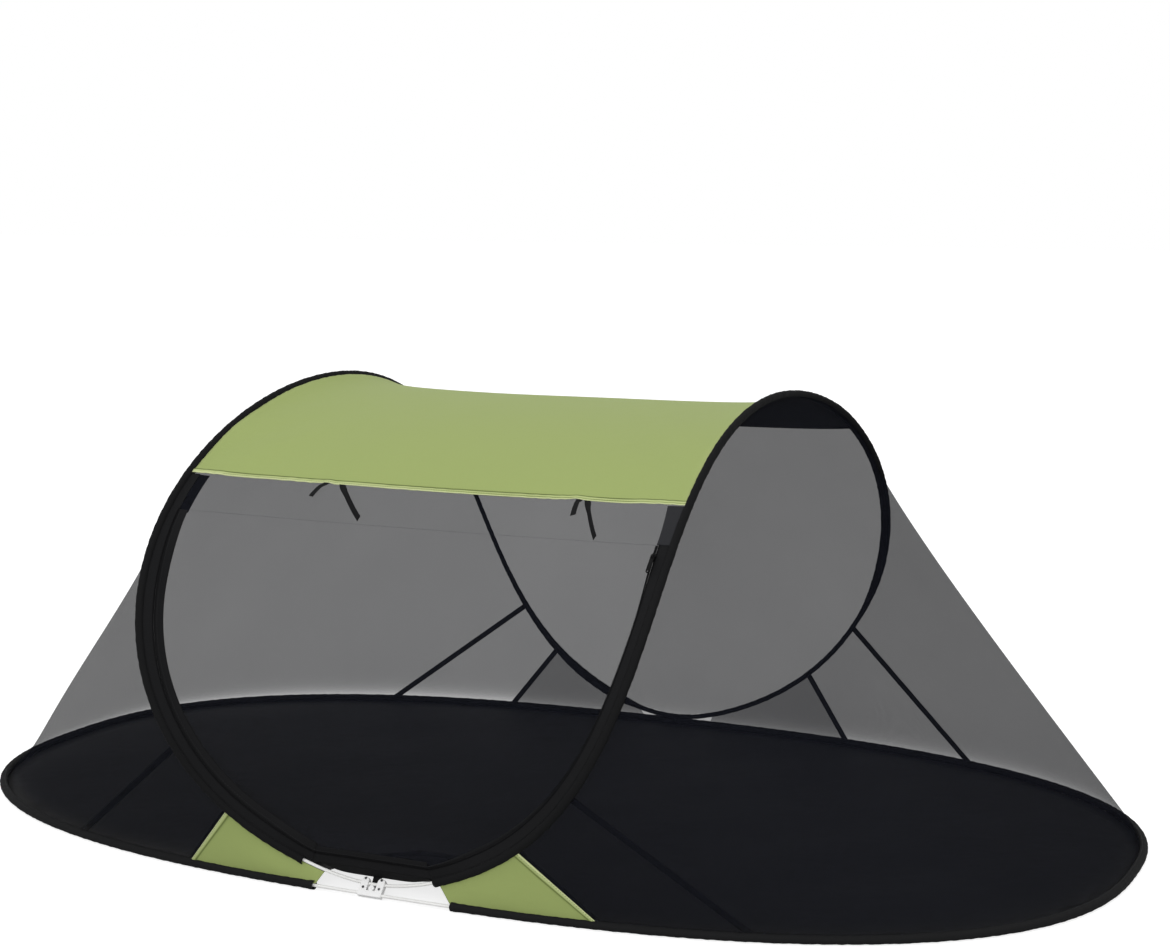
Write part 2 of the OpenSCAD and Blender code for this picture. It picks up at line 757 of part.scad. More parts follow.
module tie(root_x, length, lean) {
    lift = sheet / 2 + moving_gap;
    root = -canopy_front - 2 * sewn_gap;
    steps = 6;
    color(black_cloth) loft([
        for (k = [0 : steps])
            let (
                run = length * k / steps,
                x = root_x + run * sin(lean),
                row = row_at(root - run * cos(lean)),
                half = tie_width / 2
            )
            [
                roof_point(x - half, row, lift),
                roof_point(x + half, row, lift),
                roof_point(x + half, row, lift + tape),
                roof_point(x - half, row, lift + tape)
            ]
    ]);
}
module left_tie_short() tie(-tie_left_x - tie_left_spread, tie_short, tie_left_short_lean);
module left_tie_long() tie(-tie_left_x + tie_left_spread, tie_long, tie_left_long_lean);
module right_tie_short() tie(tie_right_x - tie_right_spread, tie_short, tie_right_short_lean);
module right_tie_long() tie(tie_right_x + tie_right_spread, tie_long, tie_right_long_lean);

base_hoop_rod();
base_hoop_ferrule();
roof_hoop_rod();
roof_hoop_ferrule();
hoop_clip_front();
hoop_clip_back();
clip_screws();
floor_sheet();
front_sill();
base_sleeve_left();
base_sleeve_right();
roof_sleeve_front_left();
roof_sleeve_front_right();
roof_sleeve_back_left();
roof_sleeve_back_right();
roof_canopy();
front_net_strip();
back_net_panel();
left_wall_net();
left_front_net();
left_back_net();
right_wall_net();
right_front_net();
right_back_net();
front_gusset_left();
front_gusset_right();
back_gusset_left();
back_gusset_right();
seam_tape_left_front();
seam_tape_left_back();
seam_tape_right_front();
seam_tape_right_back();
gusset_tape_left_front();
gusset_tape_left_back();
gusset_tape_right_front();
gusset_tape_right_back();
zip_tape_left();
zip_tape_right();
zip_tape_bottom();
zip_garage();
door_net();
door_zip_tape();
zip_slider();
zip_pull();
left_tie_short();
left_tie_long();
right_tie_short();
right_tie_long();
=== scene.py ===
import math

import bmesh
import bpy
import numpy as np
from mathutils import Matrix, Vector
from mathutils.geometry import delaunay_2d_cdt


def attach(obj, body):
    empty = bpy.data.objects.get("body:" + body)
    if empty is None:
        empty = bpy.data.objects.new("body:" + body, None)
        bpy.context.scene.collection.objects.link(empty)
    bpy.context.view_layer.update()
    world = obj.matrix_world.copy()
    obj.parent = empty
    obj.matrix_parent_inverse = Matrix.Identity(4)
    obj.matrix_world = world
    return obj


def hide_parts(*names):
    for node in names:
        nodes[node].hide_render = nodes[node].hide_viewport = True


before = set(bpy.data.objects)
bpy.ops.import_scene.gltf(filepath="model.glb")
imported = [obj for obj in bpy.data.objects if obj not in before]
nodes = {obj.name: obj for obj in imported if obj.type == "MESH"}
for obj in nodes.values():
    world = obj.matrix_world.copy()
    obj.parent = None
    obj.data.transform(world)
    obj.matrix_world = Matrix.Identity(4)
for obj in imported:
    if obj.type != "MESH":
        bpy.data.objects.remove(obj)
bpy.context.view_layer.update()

scene = bpy.context.scene


# Camera and studio
# A long lens stands off to the right of the door, a little above the roof hoop.
# Soft boxes and an even surround light the shelter, which stands on a plain pale floor.
camera_azimuth = math.radians(25.8)
camera_elevation = math.radians(9.2)
camera_distance = 3.753
camera_aim = Vector((0, 0, 0.45))
photo_width, photo_height = 1170, 947
focal_px = 2235
axis_px_x, axis_px_y = 545, 540
sensor_mm = 36
towards_camera = Vector((
    math.sin(camera_azimuth) * math.cos(camera_elevation),
    -math.cos(camera_azimuth) * math.cos(camera_elevation),
    math.sin(camera_elevation),
))
photo_lens = bpy.data.cameras.new("photo_lens")
photo_lens.sensor_width = sensor_mm
photo_lens.lens = focal_px / photo_width * sensor_mm
photo_lens.shift_x = (photo_width / 2 - axis_px_x) / photo_width
photo_lens.shift_y = (axis_px_y - photo_height / 2) / photo_width
photo_lens.clip_start, photo_lens.clip_end = 0.05, 200


def add_object(name, data):
    """A new object in the scene."""
    made = bpy.data.objects.new(name, data)
    scene.collection.objects.link(made)
    return made


camera = add_object("camera", photo_lens)
camera.location = camera_aim + towards_camera * camera_distance
camera.rotation_euler = (-towards_camera).to_track_quat("-Z", "Y").to_euler()
scene.camera = camera
scene.view_settings.view_transform = "Standard"


def wire(tree, kind, inputs, **settings):
    """Adds one node to a tree, sets its options, and gives each input a value or a link."""
    made = tree.nodes.new(kind)
    for name, value in settings.items():
        setattr(made, name, value)
    for key, value in inputs.items():
        if isinstance(value, bpy.types.NodeSocket):
            tree.links.new(value, made.inputs[key])
        else:
            made.inputs[key].default_value = value
    return made


def maths(tree, operation, *values):
    """One Math node's result."""
    return wire(tree, "ShaderNodeMath", dict(enumerate(values)), operation=operation).outputs[0]


def seen_directly(tree):
    """1 for rays that show a surface to the eye, straight, mirrored or through something clear."""
    path = wire(tree, "ShaderNodeLightPath", {}).outputs
    mirrored = maths(tree, "MAXIMUM", path["Is Glossy Ray"], path["Is Transmission Ray"])
    return maths(tree, "MAXIMUM", path["Is Camera Ray"], mirrored)


surround_light = 0.72
surround = bpy.data.worlds.new("surround")
surround.use_nodes = True
sky = surround.node_tree
sky.nodes.clear()
sky_light = wire(sky, "ShaderNodeBackground", {"Color": (1, 1, 1, 1), "Strength": surround_light})
sky_white = wire(sky, "ShaderNodeBackground", {"Color": (1, 1, 1, 1), "Strength": 1})
sky_mix = wire(sky, "ShaderNodeMixShader", {
    0: seen_directly(sky), 1: sky_light.outputs[0], 2: sky_white.outputs[0],
})
wire(sky, "ShaderNodeOutputWorld", {"Surface": sky_mix.outputs[0]})
scene.world = surround

soft_boxes = {
    "overhead_box": ((-0.6, -0.9, 3.2), 3.0, 18),
    "door_side_box": ((1.2, -3.6, 1.7), 2.4, 44),
}
for name, (place, width, watts) in soft_boxes.items():
    lamp = bpy.data.lights.new(name, "AREA")
    lamp.size = width
    lamp.energy = watts
    box = add_object(name, lamp)
    box.location = place
    box.rotation_euler = (Vector(place) - camera_aim).to_track_quat("Z", "Y").to_euler()


def new_material(name):
    """An empty node material, with its tree."""
    material = bpy.data.materials.new(name)
    material.use_nodes = True
    material.node_tree.nodes.clear()
    return material, material.node_tree


floor_half = 30
floor_drop = 0.0006
floor_brightness = 0.78
studio_floor = add_object("studio_floor", bpy.data.meshes.new("studio_floor"))
studio_floor.data.from_pydata(
    [(x * floor_half, y * floor_half, -floor_drop) for x, y in ((-1, -1), (1, -1), (1, 1), (-1, 1))],
    [], [(0, 1, 2, 3)],
)
pale_floor, floor_tree = new_material("pale_floor")
floor_lit = wire(floor_tree, "ShaderNodeBsdfDiffuse", {"Color": (0.5, 0.5, 0.5, 1)})
floor_white = maths(floor_tree, "MULTIPLY", seen_directly(floor_tree), floor_brightness)
floor_glow = wire(floor_tree, "ShaderNodeEmission", {"Strength": floor_white})
floor_sum = wire(floor_tree, "ShaderNodeAddShader", {0: floor_lit.outputs[0], 1: floor_glow.outputs[0]})
wire(floor_tree, "ShaderNodeOutputMaterial", {"Surface": floor_sum.outputs[0]})
studio_floor.data.materials.append(pale_floor)


# Base hoop
# A flat oval of white pultruded glass fibre rod. Its two ends meet in a drawn steel
# ferrule at the back, and the whole hoop is threaded through the base sleeve.
floor_length, floor_width = 2.0, 1.2
sleeve_d = 0.015
octagon_flat = math.cos(math.pi / 8)
base_half_length = floor_length / 2 - sleeve_d / 2
base_half_width = floor_width / 2 - sleeve_d / 2
base_power = 0.8
base_height = sleeve_d / 2 * octagon_flat
rod_radius = 0.0025


def base_at(turn):
    """Points of the base hoop, by turns in degrees from the right end."""
    c, s = np.cos(np.radians(turn)), np.sin(np.radians(turn))
    return np.stack([
        base_half_length * np.sign(c) * np.abs(c) ** base_power,
        base_half_width * np.sign(s) * np.abs(s) ** base_power,
        np.full(np.shape(turn), base_height),
    ], -1)


def lengths_along(points):
    """Distance of each point from the first one, along the line."""
    steps = np.linalg.norm(np.diff(points, axis=0), axis=1)
    return np.concatenate([[0], np.cumsum(steps)])


def even_turns(line, first, last, step, samples=4000):
    """Turns along a hoop whose points lie the same distance apart."""
    fine = np.linspace(first, last, samples)
    lengths = lengths_along(line(fine))
    count = max(2, round(lengths[-1] / step) + 1)
    return np.interp(np.linspace(0, lengths[-1], count), lengths, fine)


inside_point = np.array([0, 0, 0.22])


def skin(name, points, wrapped=False, looped=False, marks=None):
    """A smooth mesh through rows of points, with a UV map in metres and its front faces outwards.

    A wrapped one closes each row on itself, as a tube does. A looped one joins its last row to its first.
    Marks are one number for each point, kept for the material as the attribute fold: painted highlight
    where positive, painted shade where negative.
    """
    rows, across = points.shape[:2]
    row_count = rows if looped else rows - 1
    column_count = across if wrapped else across - 1
    round_rows = np.concatenate([points, points[:1]]) if looped else points
    round_points = np.concatenate([round_rows, round_rows[:, :1]], 1) if wrapped else round_rows
    along = lengths_along(round_points[:, across // 2])
    over = lengths_along(round_points[rows // 2])
    corners = ((0, 0), (0, 1), (1, 1), (1, 0))
    quads, places = [], []
    for i in range(row_count):
        for j in range(column_count):
            quads.append([(i + a) % rows * across + (j + b) % across for a, b in corners])
            places += [(over[j + b], along[i + a]) for a, b in corners]
    mesh = bpy.data.meshes.new(name)
    mesh.from_pydata(points.reshape(-1, 3).tolist(), [], quads)
    mesh.uv_layers.new(name="cloth").data.foreach_set("uv", np.array(places, np.float32).ravel())
    middle = points.mean(1)[:, None] if wrapped else inside_point
    normals = np.zeros(len(mesh.vertices) * 3, np.float32)
    mesh.vertex_normals.foreach_get("vector", normals)
    if (normals.reshape(points.shape) * (points - middle)).sum() < 0:
        mesh.flip_normals()
    if marks is not None:
        fold_marks = mesh.attributes.new("fold", "FLOAT", "POINT")
        fold_marks.data.foreach_set("value", marks.astype(np.float32).ravel())
    mesh.polygons.foreach_set("use_smooth", [True] * len(mesh.polygons))
    return add_object(name, mesh)


def fit(piece, material, body, slot, *stands_for):
    """Gives a piece its finish, sets it on its body, and hides the plain solids that it stands for."""
    if not piece.data.materials:
        piece.data.materials.append(material)
    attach(piece, body)
    if stands_for:
        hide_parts(*stands_for)


def ring_points(centres, across, over, angles, radii):
    """Rings of points round a line of centres."""
    a = np.radians(angles)[None, :, None]
    return centres[:, None] + radii[..., None] * (np.cos(a) * across[:, None] + np.sin(a) * over[:, None])


def unit(vectors):
    """The same ways with a length of 1."""
    return vectors / np.linalg.norm(vectors, axis=-1, keepdims=True)


slope_turn = 0.5


def base_ways(turn):
    """The hoop's inward and upward ways."""
    run = base_at(turn + slope_turn) - base_at(turn - slope_turn)
    inward = unit(np.stack([-run[:, 1], run[:, 0], 0 * run[:, 0]], -1))
    return inward, np.broadcast_to([0.0, 0.0, 1.0], inward.shape)


def blend_colours(tree, share, first, second):
    """A colour between two, by a share."""
    mix = wire(tree, "ShaderNodeMix", {0: share, 6: first, 7: second}, data_type="RGBA", clamp_factor=True)
    return mix.outputs[2]


def spread(tree, value, low, high):
    """A value from 0 to 1 spread between two others."""
    return wire(tree, "ShaderNodeMapRange", {0: value, 3: low, 4: high}).outputs[0]


def speckle(tree, vector, scale, detail=2):
    """Noise from 0 to 1."""
    return wire(tree, "ShaderNodeTexNoise", {"Vector": vector, "Scale": scale, "Detail": detail}).outputs[0]


def relief(tree, strength, distance, height, **under):
    """The normal of a surface with fine relief, on top of a coarser one if there is one."""
    given = {"Strength": strength, "Distance": distance, "Height": height, **under}
    return wire(tree, "ShaderNodeBump", given).outputs[0]


def surfaced(material, inputs):
    """Ends a material with its surface shader."""
    shader = wire(material.node_tree, "ShaderNodeBsdfPrincipled", inputs)
    wire(material.node_tree, "ShaderNodeOutputMaterial", {0: shader.outputs[0]})
    return material


def glass_fibre():
    """White rod with faint fibre streaks along it and a satin skin."""
    material, tree = new_material("glass_fibre")
    place = wire(tree, "ShaderNodeTexCoord", {}).outputs["UV"]
    stretched = wire(tree, "ShaderNodeMapping", {0: place, 3: (900, 14, 1)}).outputs[0]
    streaks = speckle(tree, stretched, 1, 4)
    return surfaced(material, {
        "Base Color": blend_colours(tree, streaks, (0.80, 0.80, 0.78, 1), (0.95, 0.95, 0.94, 1)),
        "Roughness": spread(tree, streaks, 0.3, 0.5), "Normal": relief(tree, 0.2, 0.0001, streaks),
    })


rod_finish = glass_fibre()
rod_sides = 20
rod_angles = np.arange(rod_sides) * 360 / rod_sides
rod_step = 0.006


def rod(name, line, ways, first, last):
    """A round rod along a closed hoop."""
    turns = even_turns(line, first, last, rod_step)[:-1]
    inward, over = ways(turns)
    radii = np.full((len(turns), rod_sides), rod_radius)
    return skin(name, ring_points(line(turns), inward, over, rod_angles, radii), wrapped=True, looped=True)


fit(rod("base_rod", base_at, base_ways, 90, 450), rod_finish, "tent", "hoop_rod", "base_hoop_rod")


def drawn_metal(name, colour, shade, metallic, rough, scale, gloss=0.5):
    """Bare or lacquered metal with fine drawing marks and patchy gloss."""
    material, tree = new_material(name)
    place = wire(tree, "ShaderNodeTexCoord", {}).outputs["Object"]
    marks = speckle(tree, place, scale, 5)
    return surfaced(material, {
        "Base Color": blend_colours(tree, marks, shade, colour), "Metallic": metallic,
        "Roughness": spread(tree, marks, *rough), "Specular IOR Level": gloss,
        "Normal": relief(tree, 0.15, 0.0001, marks),
    })


ferrule_steel = drawn_metal("ferrule_steel", (0.6, 0.6, 0.62, 1), (0.42, 0.42, 0.44, 1),
                            metallic=1, rough=(0.25, 0.45), scale=900)


def refinish(node, material):
    """A finish for a piece that keeps its own shape."""
    nodes[node].data.materials.clear()
    nodes[node].data.materials.append(material)


refinish("base_hoop_ferrule", ferrule_steel)


# Roof hoop
# A second rod of the same kind, sprung into a saddle shaped loop: low at the clip in front,
# up over the right, down at the back and up over the left, with its own ferrule at the back.
roof_half_span = 0.412
side_swell = 0.083
belly = 0.121
rise = 0.683
foot_dip = 0.0085
dip_power = 80
foot_y = base_half_width - 0.011
foot_z = base_height + 0.012


def hoop_at(turn):
    """Points of the roof hoop, by turns in degrees: 0 is its right high point and -90 the clip."""
    a = np.radians(turn)
    return np.stack([
        (roof_half_span + side_swell) * np.cos(a) - side_swell * np.cos(3 * a),
        (foot_y + belly) * np.sin(a) + belly * np.sin(3 * a),
        foot_z + rise * np.cos(a) ** 2 + foot_dip * (1 - np.abs(np.sin(a)) ** dip_power),
    ], -1)


# The roof cloth runs straight across between the two sides of the hoop. A row is the turn of the
# hoop's right side, and the cloth is measured from the ridge.
fine_rows = np.linspace(0, 90, 721)
fine_lengths = lengths_along(hoop_at(fine_rows)[:, 1:])
last_row = 89


def along_cloth(row):
    """Distance along the roof cloth from the ridge to a row."""
    return np.sign(row) * np.interp(np.abs(row), fine_rows, fine_lengths)


def row_at(length):
    """The row at a distance along the roof cloth from the ridge."""
    return np.sign(length) * np.interp(np.abs(length), fine_lengths, fine_rows)


def cloth_normal(row):
    """The way out of the roof cloth."""
    r = np.clip(row, -last_row, last_row)
    run = hoop_at(r + slope_turn) - hoop_at(r - slope_turn)
    return unit(np.stack([0 * run[..., 0], -run[..., 2], run[..., 1]], -1))


def hoop_ways(turn):
    """The ways from the hoop in along the roof cloth, and out of it."""
    over = cloth_normal(np.degrees(np.arcsin(np.sin(np.radians(turn)))))
    run = hoop_at(turn + slope_turn) - hoop_at(turn - slope_turn)
    return unit(np.cross(over, run)), over


fit(rod("roof_rod", hoop_at, hoop_ways, 90, 450), rod_finish, "tent", "hoop_rod", "roof_hoop_rod")
refinish("roof_hoop_ferrule", ferrule_steel)


# Hoop clip
# Two moulded white halves with rounded uprights, screwed together round both rods
# where the hoops cross in front of the door.
mould_edge, screw_edge = 0.0006, 0.0003
flat_angle, sharp_angle = 0.5, 40


def rounded_copy(name, node, width, segments):
    """A copy of a hard piece with its edges broken as a mould or a tumbler breaks them."""
    mesh = nodes[node].data.copy()
    mesh.name = name
    mesh.materials.clear()
    shape = bmesh.new()
    shape.from_mesh(mesh)
    bmesh.ops.remove_doubles(shape, verts=shape.verts, dist=1e-6)
    bmesh.ops.dissolve_limit(shape, angle_limit=math.radians(flat_angle),
                             verts=shape.verts, edges=shape.edges)
    for face in shape.faces:
        face.smooth = True
    shape.to_mesh(mesh)
    shape.free()
    piece = add_object(name, mesh)
    edge = piece.modifiers.new("broken_edges", "BEVEL")
    edge.width = width
    edge.segments = segments
    edge.limit_method = "ANGLE"
    edge.angle_limit = math.radians(sharp_angle)
    edge.harden_normals = True
    return piece


def moulded_plastic(name, colour, shade, gloss=0.5, rough=(0.28, 0.42)):
    """Moulded plastic with a fine spark finish and slight sink marks."""
    material, tree = new_material(name)
    place = wire(tree, "ShaderNodeTexCoord", {}).outputs["Object"]
    grain = speckle(tree, place, 2600, 2)
    cloud = speckle(tree, place, 90, 3)
    return surfaced(material, {
        "Base Color": blend_colours(tree, cloud, shade, colour),
        "Roughness": spread(tree, grain, *rough), "Specular IOR Level": gloss,
        "Normal": relief(tree, 0.12, 0.0001, grain),
    })


clip_plastic = moulded_plastic("clip_plastic", (0.92, 0.92, 0.92, 1), (0.82, 0.82, 0.82, 1))
for half in ("front", "back"):
    clip_half = rounded_copy(f"clip_{half}", f"hoop_clip_{half}", mould_edge, 3)
    fit(clip_half, clip_plastic, "tent", "clip_plastic", f"hoop_clip_{half}")
black_steel = drawn_metal("black_steel", (0.06, 0.06, 0.065, 1), (0.03, 0.03, 0.032, 1),
                          metallic=0.6, rough=(0.3, 0.5), scale=1800)
screw_heads = rounded_copy("clip_screw_heads", "clip_screws", screw_edge, 2)
fit(screw_heads, black_steel, "tent", "screw_steel", "clip_screws")


# Floor
# One oval of black coated cloth, sewn all round into the base sleeve and cut back behind the clip.
# It lies on the ground with a few soft ripples.
floor_tuck = 0.0035
floor_thickness = 0.0011
floor_lift = 0.0003
ripple_height, ripple_edge = 0.0022, 0.3
rim_step, grid_step = 0.02, 0.025
grid_reach = 0.93
notch_half, notch_depth = 0.135, 0.215
notch_clear = 1.2
oval_power = 2 / base_power


def woven(name, colour, shade, thread, roughness, gloss, bump_share=0.3, fold=None, flat_place="UV"):
    """Woven cloth: crossing threads, a cloudy tone and soft creases.

    Fold is a pair of colours: a painted highlight for the folded edges and painted shade for the sunk
    stitch lines.
    """
    material, tree = new_material(name)
    place = wire(tree, "ShaderNodeTexCoord", {}).outputs
    u, v, _ = wire(tree, "ShaderNodeSeparateXYZ", {0: place[flat_place]}).outputs
    turn = 2 * math.pi / thread
    warp = maths(tree, "SINE", maths(tree, "MULTIPLY", u, turn))
    weft = maths(tree, "SINE", maths(tree, "MULTIPLY", v, turn))
    threads = maths(tree, "MULTIPLY_ADD", maths(tree, "MULTIPLY", warp, weft), 0.5, 0.5)
    cloud = speckle(tree, place["Object"], 5, 4)
    creases = speckle(tree, place["Object"], 38, 3)
    tone = blend_colours(tree, cloud, shade, colour)
    dim = tuple(c * 0.8 for c in shade[:3]) + (1,)
    tone = blend_colours(tree, spread(tree, threads, 0.35, 0), tone, dim)
    # The fold attribute paints light: the first colour is a painted highlight where it is positive, the
    # second painted shade where it is negative.
    if fold is not None:
        mark = wire(tree, "ShaderNodeAttribute", {}, attribute_name="fold").outputs["Fac"]
        tone = blend_colours(tree, mark, tone, fold[0])
        tone = blend_colours(tree, maths(tree, "MULTIPLY", mark, -1), tone, fold[1])
    soft = relief(tree, 0.2, 0.004, creases)
    return surfaced(material, {
        "Base Color": tone, "Roughness": spread(tree, cloud, roughness - 0.08, roughness + 0.08),
        "Specular IOR Level": gloss, "Sheen Weight": gloss / 4, "Sheen Roughness": 0.5,
        "Normal": relief(tree, bump_share, 0.0003, threads, Normal=soft),
    })


def thicken(piece, thickness, inner=None):
    """Gives a sheet its thickness, inwards, with another finish on its inner face if there is one."""
    wall = piece.modifiers.new("thickness", "SOLIDIFY")
    wall.thickness = thickness
    wall.offset = -1
    wall.use_even_offset = True
    if inner is not None:
        piece.data.materials.append(inner)
        wall.material_offset = 1


def oval_share(x, y):
    """How far out a point of the floor lies: 0 in the middle and 1 at the base hoop."""
    return np.abs(x / base_half_length) ** oval_power + np.abs(y / base_half_width) ** oval_power


def ripple(x, y):
    """Soft ripples of the floor that die out at its sewn edge."""
    edge = np.clip(1 - oval_share(x, y), 0, ripple_edge) / ripple_edge
    wave = np.sin(9 * x + 4 * np.sin(3 * y)) * np.sin(7 * y + 2 * x) + 0.5 * np.sin(23 * x - 17 * y)
    return ripple_height * edge * (0.6 + 0.4 * wave)


def notch_at(angle):
    """Points of the notch behind the clip, by angles in degrees from its right end."""
    a = np.radians(angle)
    return np.stack([notch_half * np.cos(a), -base_half_width + notch_depth * np.sin(a)], -1)


rim_turns = even_turns(base_at, -90, 270, rim_step)[:-1]
rim = base_at(rim_turns) + floor_tuck * base_ways(rim_turns)[0]
rim = rim[~((np.abs(rim[:, 0]) < notch_half) & (rim[:, 1] < 0))][:, :2]
outline = np.concatenate([rim, notch_at(np.linspace(180, 0, 25))])
grid_x, grid_y = np.meshgrid(np.arange(-floor_length / 2, floor_length / 2, grid_step),
                             np.arange(-floor_width / 2, floor_width / 2, grid_step))
grid = np.stack([grid_x.ravel(), grid_y.ravel()], -1)
from_notch = (grid[:, 0] / notch_half) ** 2 + ((grid[:, 1] + base_half_width) / notch_depth) ** 2
grid = grid[(oval_share(*grid.T) < grid_reach) & (from_notch > notch_clear)]
flat_points = [Vector(p) for p in np.concatenate([outline, grid])]
cut_points, _, cut_faces, _, _, _ = delaunay_2d_cdt(flat_points, [], [list(range(len(outline)))], 1, 1e-6)
flat = np.array(cut_points)
floor_top = floor_lift + floor_thickness + ripple(flat[:, 0], flat[:, 1])
floor_mesh = bpy.data.meshes.new("floor_cloth")
floor_mesh.from_pydata(np.column_stack([flat, floor_top]).tolist(), [], cut_faces)
floor_mesh.polygons.foreach_set("use_smooth", [True] * len(floor_mesh.polygons))
floor_cloth = add_object("floor_cloth", floor_mesh)
if floor_mesh.polygons[0].normal.z < 0:
    floor_mesh.flip_normals()
coated_cloth = woven("coated_cloth", (0.0166, 0.0168, 0.0173, 1), (0.0117, 0.0118, 0.0122, 1),
                     thread=0.0016, roughness=0.6, gloss=0.08, flat_place="Object")
fit(floor_cloth, coated_cloth, "tent", "floor_cloth", "floor_sheet")
thicken(floor_cloth, floor_thickness)


# Sill
# A scoop of the floor cloth behind the clip. It hangs from the back of the zip's lower tape in a
# short fold, and runs back from there to the notch in the floor that it is sewn round.
sheet = 0.001
sewn_gap = 0.0004
tape_width = 0.010
roof_gap_turn = 82
sag_depth = 0.006
sleeve_inset = sleeve_d / 2 * octagon_flat + sewn_gap


def cloth_sag(x, row):
    """How far the roof cloth hangs in between the two sides of the hoop."""
    share = np.abs(x) / hoop_at(row)[..., 0]
    return sag_depth * np.cos(np.radians(row)) * np.clip(1 - share ** 2, 0, 1)


def roof_at(x, row, lift):
    """Points of the roof cloth, lifted off it along its normal."""
    x, row, lift = np.broadcast_arrays(*(np.asarray(value, float) for value in (x, row, lift)))
    line = hoop_at(row)
    flat_line = np.stack([x, line[..., 1], line[..., 2]], -1)
    return flat_line + (lift - cloth_sag(x, row))[..., None] * cloth_normal(row)


def inset(row, width):
    """A point of the cloth at a distance in from the hoop's right side: its x and its row."""
    dx = hoop_at(row + slope_turn)[..., 0] - hoop_at(row - slope_turn)[..., 0]
    du = along_cloth(row + slope_turn) - along_cloth(row - slope_turn)
    run = np.hypot(dx, du)
    return hoop_at(row)[..., 0] - width * du / run, row_at(along_cloth(row) + width * dx / run)


hem_x, hem_row = inset(np.array(-roof_gap_turn), sleeve_inset)
hem_x = hem_x - tape_width
sill_columns = 41
fold_drop, fold_back = 0.018, 0.014
sill_foot_height = 0.0019
sill_bow_depth = 0.005
sill_thickness = 0.0008
sill_across = np.linspace(-1, 1, sill_columns)
sill_hem = roof_at(hem_x * sill_across, hem_row, -1.5 * sheet - sewn_gap)
fold_share = (1 - np.abs(sill_across) ** 6)[:, None]
sill_fold = sill_hem + fold_share * np.array([0, fold_back, -fold_drop])
sill_foot = np.column_stack([
    notch_at(np.linspace(175, 5, sill_columns)), np.full(sill_columns, sill_foot_height),
])
hang_shares = np.linspace(0, 1, 6)[None, :-1, None]
sill_shares = np.linspace(0, 1, 13)
sill_hang = sill_hem[:, None] * (1 - hang_shares) + sill_fold[:, None] * hang_shares
sill_straight = sill_fold[:, None] * (1 - sill_shares)[:, None] + sill_foot[:, None] * sill_shares[:, None]
sill_normal = unit(np.cross(np.gradient(sill_straight, axis=0), (sill_foot - sill_fold)[:, None]))
sill_bow = (sill_bow_depth * 4 * sill_shares * (1 - sill_shares))[None, :, None]
sill_points = np.concatenate([sill_hang, sill_straight + sill_bow * sill_normal], 1)
sill = skin("sill", sill_points)
sill_cloth = woven("sill_cloth", (0.0165, 0.0166, 0.0174, 1), (0.0118, 0.0119, 0.0125, 1),
                   thread=0.0016, roughness=0.7, gloss=0.02)
fit(sill, sill_cloth, "tent", "floor_cloth", "front_sill")
thicken(sill, sill_thickness)


# Clip tab
# A short black tape sewn to the fold of the sill, which runs down behind the clip to the base rod.
tab_half = 0.0072
tab_depth = 0.0049
tab_low, tab_high = -0.002, 0.023
tape_thickness = 0.0006


def sew_tape(piece, points, cloth, body, rests_on, *stands_for):
    """Finishes a tape: its cloth and its thickness."""
    fit(piece, cloth, body, "tape", *stands_for)
    thicken(piece, tape_thickness)


clip_foot, clip_top_rod = base_at(np.array(270.0)), hoop_at(np.array(270.0))
clip_rise = unit(clip_top_rod - clip_foot)
clip_front = np.cross([1, 0, 0], clip_rise)
tab_heights = np.linspace(tab_low, tab_high, 14)
tab_line = clip_foot + tab_heights[:, None] * clip_rise - tab_depth * clip_front
tab_hem = sill_fold[sill_columns // 2]
tab_up = np.linspace(0, 1, 10)[1:, None]
tab_line = np.concatenate([tab_line, tab_line[-1] * (1 - tab_up) + tab_hem * tab_up])
tab_across = np.stack([np.linspace(-tab_half, tab_half, 7), np.zeros(7), np.zeros(7)], -1)
tab_points = tab_line[:, None] + tab_across[None]
clip_tab = skin("clip_tab", tab_points)
sew_tape(clip_tab, tab_points, sill_cloth, "tent", ["sill", "base_rod"])


# Base sleeve
# Two lengths of black cloth folded round the rod and sewn shut with a row of stitches, open for
# the clip in front. The net and the floor are caught in the same seam.
base_gap = {"left": 0.0966, "right": 0.1346}
sleeve_sides = 20
sleeve_step = 0.0035
sleeve_thickness = 0.0008
seam_ridge, seam_spread, seam_oval = 0.22, 16, 0.03
gather_height = 0.00022
thread_stand = 0.0001
end_hem, end_hem_step = 0.010, 0.0005


def sleeve(name, line, ways, first, last, sections, seam_angle, lowest, hemmed):
    """A cloth tube drawn to a seam on one side, gathered a little along its length.

    Sections gives, at some turns, its half width, its half thickness and how far it lies twisted.
    Hemmed says which of its ends is turned back and sewn, and lowest is the height that it rests at.
    """
    turns = even_turns(line, first, last, sleeve_step)
    centres = line(turns)
    length = lengths_along(centres)
    angles = np.arange(sleeve_sides) * 360 / sleeve_sides
    from_seam = (angles - seam_angle + 180) % 360 - 180
    shape = 1 + seam_ridge * np.exp(-(from_seam / seam_spread) ** 2)
    shape = shape - seam_oval * np.cos(np.radians(2 * from_seam))
    places, *sizes = np.array(sections).T
    wide, thin, twist = (np.interp(turns, places, size)[:, None] for size in sizes)
    lean = np.radians(angles[None] - twist)
    flat = wide * thin / np.hypot(thin * np.cos(lean), wide * np.sin(lean))
    run, a = length[:, None], np.radians(angles)[None]
    gather = np.sin(205 * run + 3 * np.sin(33 * run) + a) + 0.7 * np.sin(470 * run + 2 * a + 1.3)
    radii = flat * shape[None] + gather_height * gather
    from_end = np.full(len(turns), 1.0)
    if hemmed[0]:
        from_end = np.minimum(from_end, length)
    if hemmed[1]:
        from_end = np.minimum(from_end, length[-1] - length)
    radii = radii + end_hem_step * (from_end < end_hem)[:, None]
    points = ring_points(centres, *ways(turns), angles, radii)
    points[..., 2] = np.maximum(points[..., 2], lowest)
    return skin(name, points, wrapped=True), points


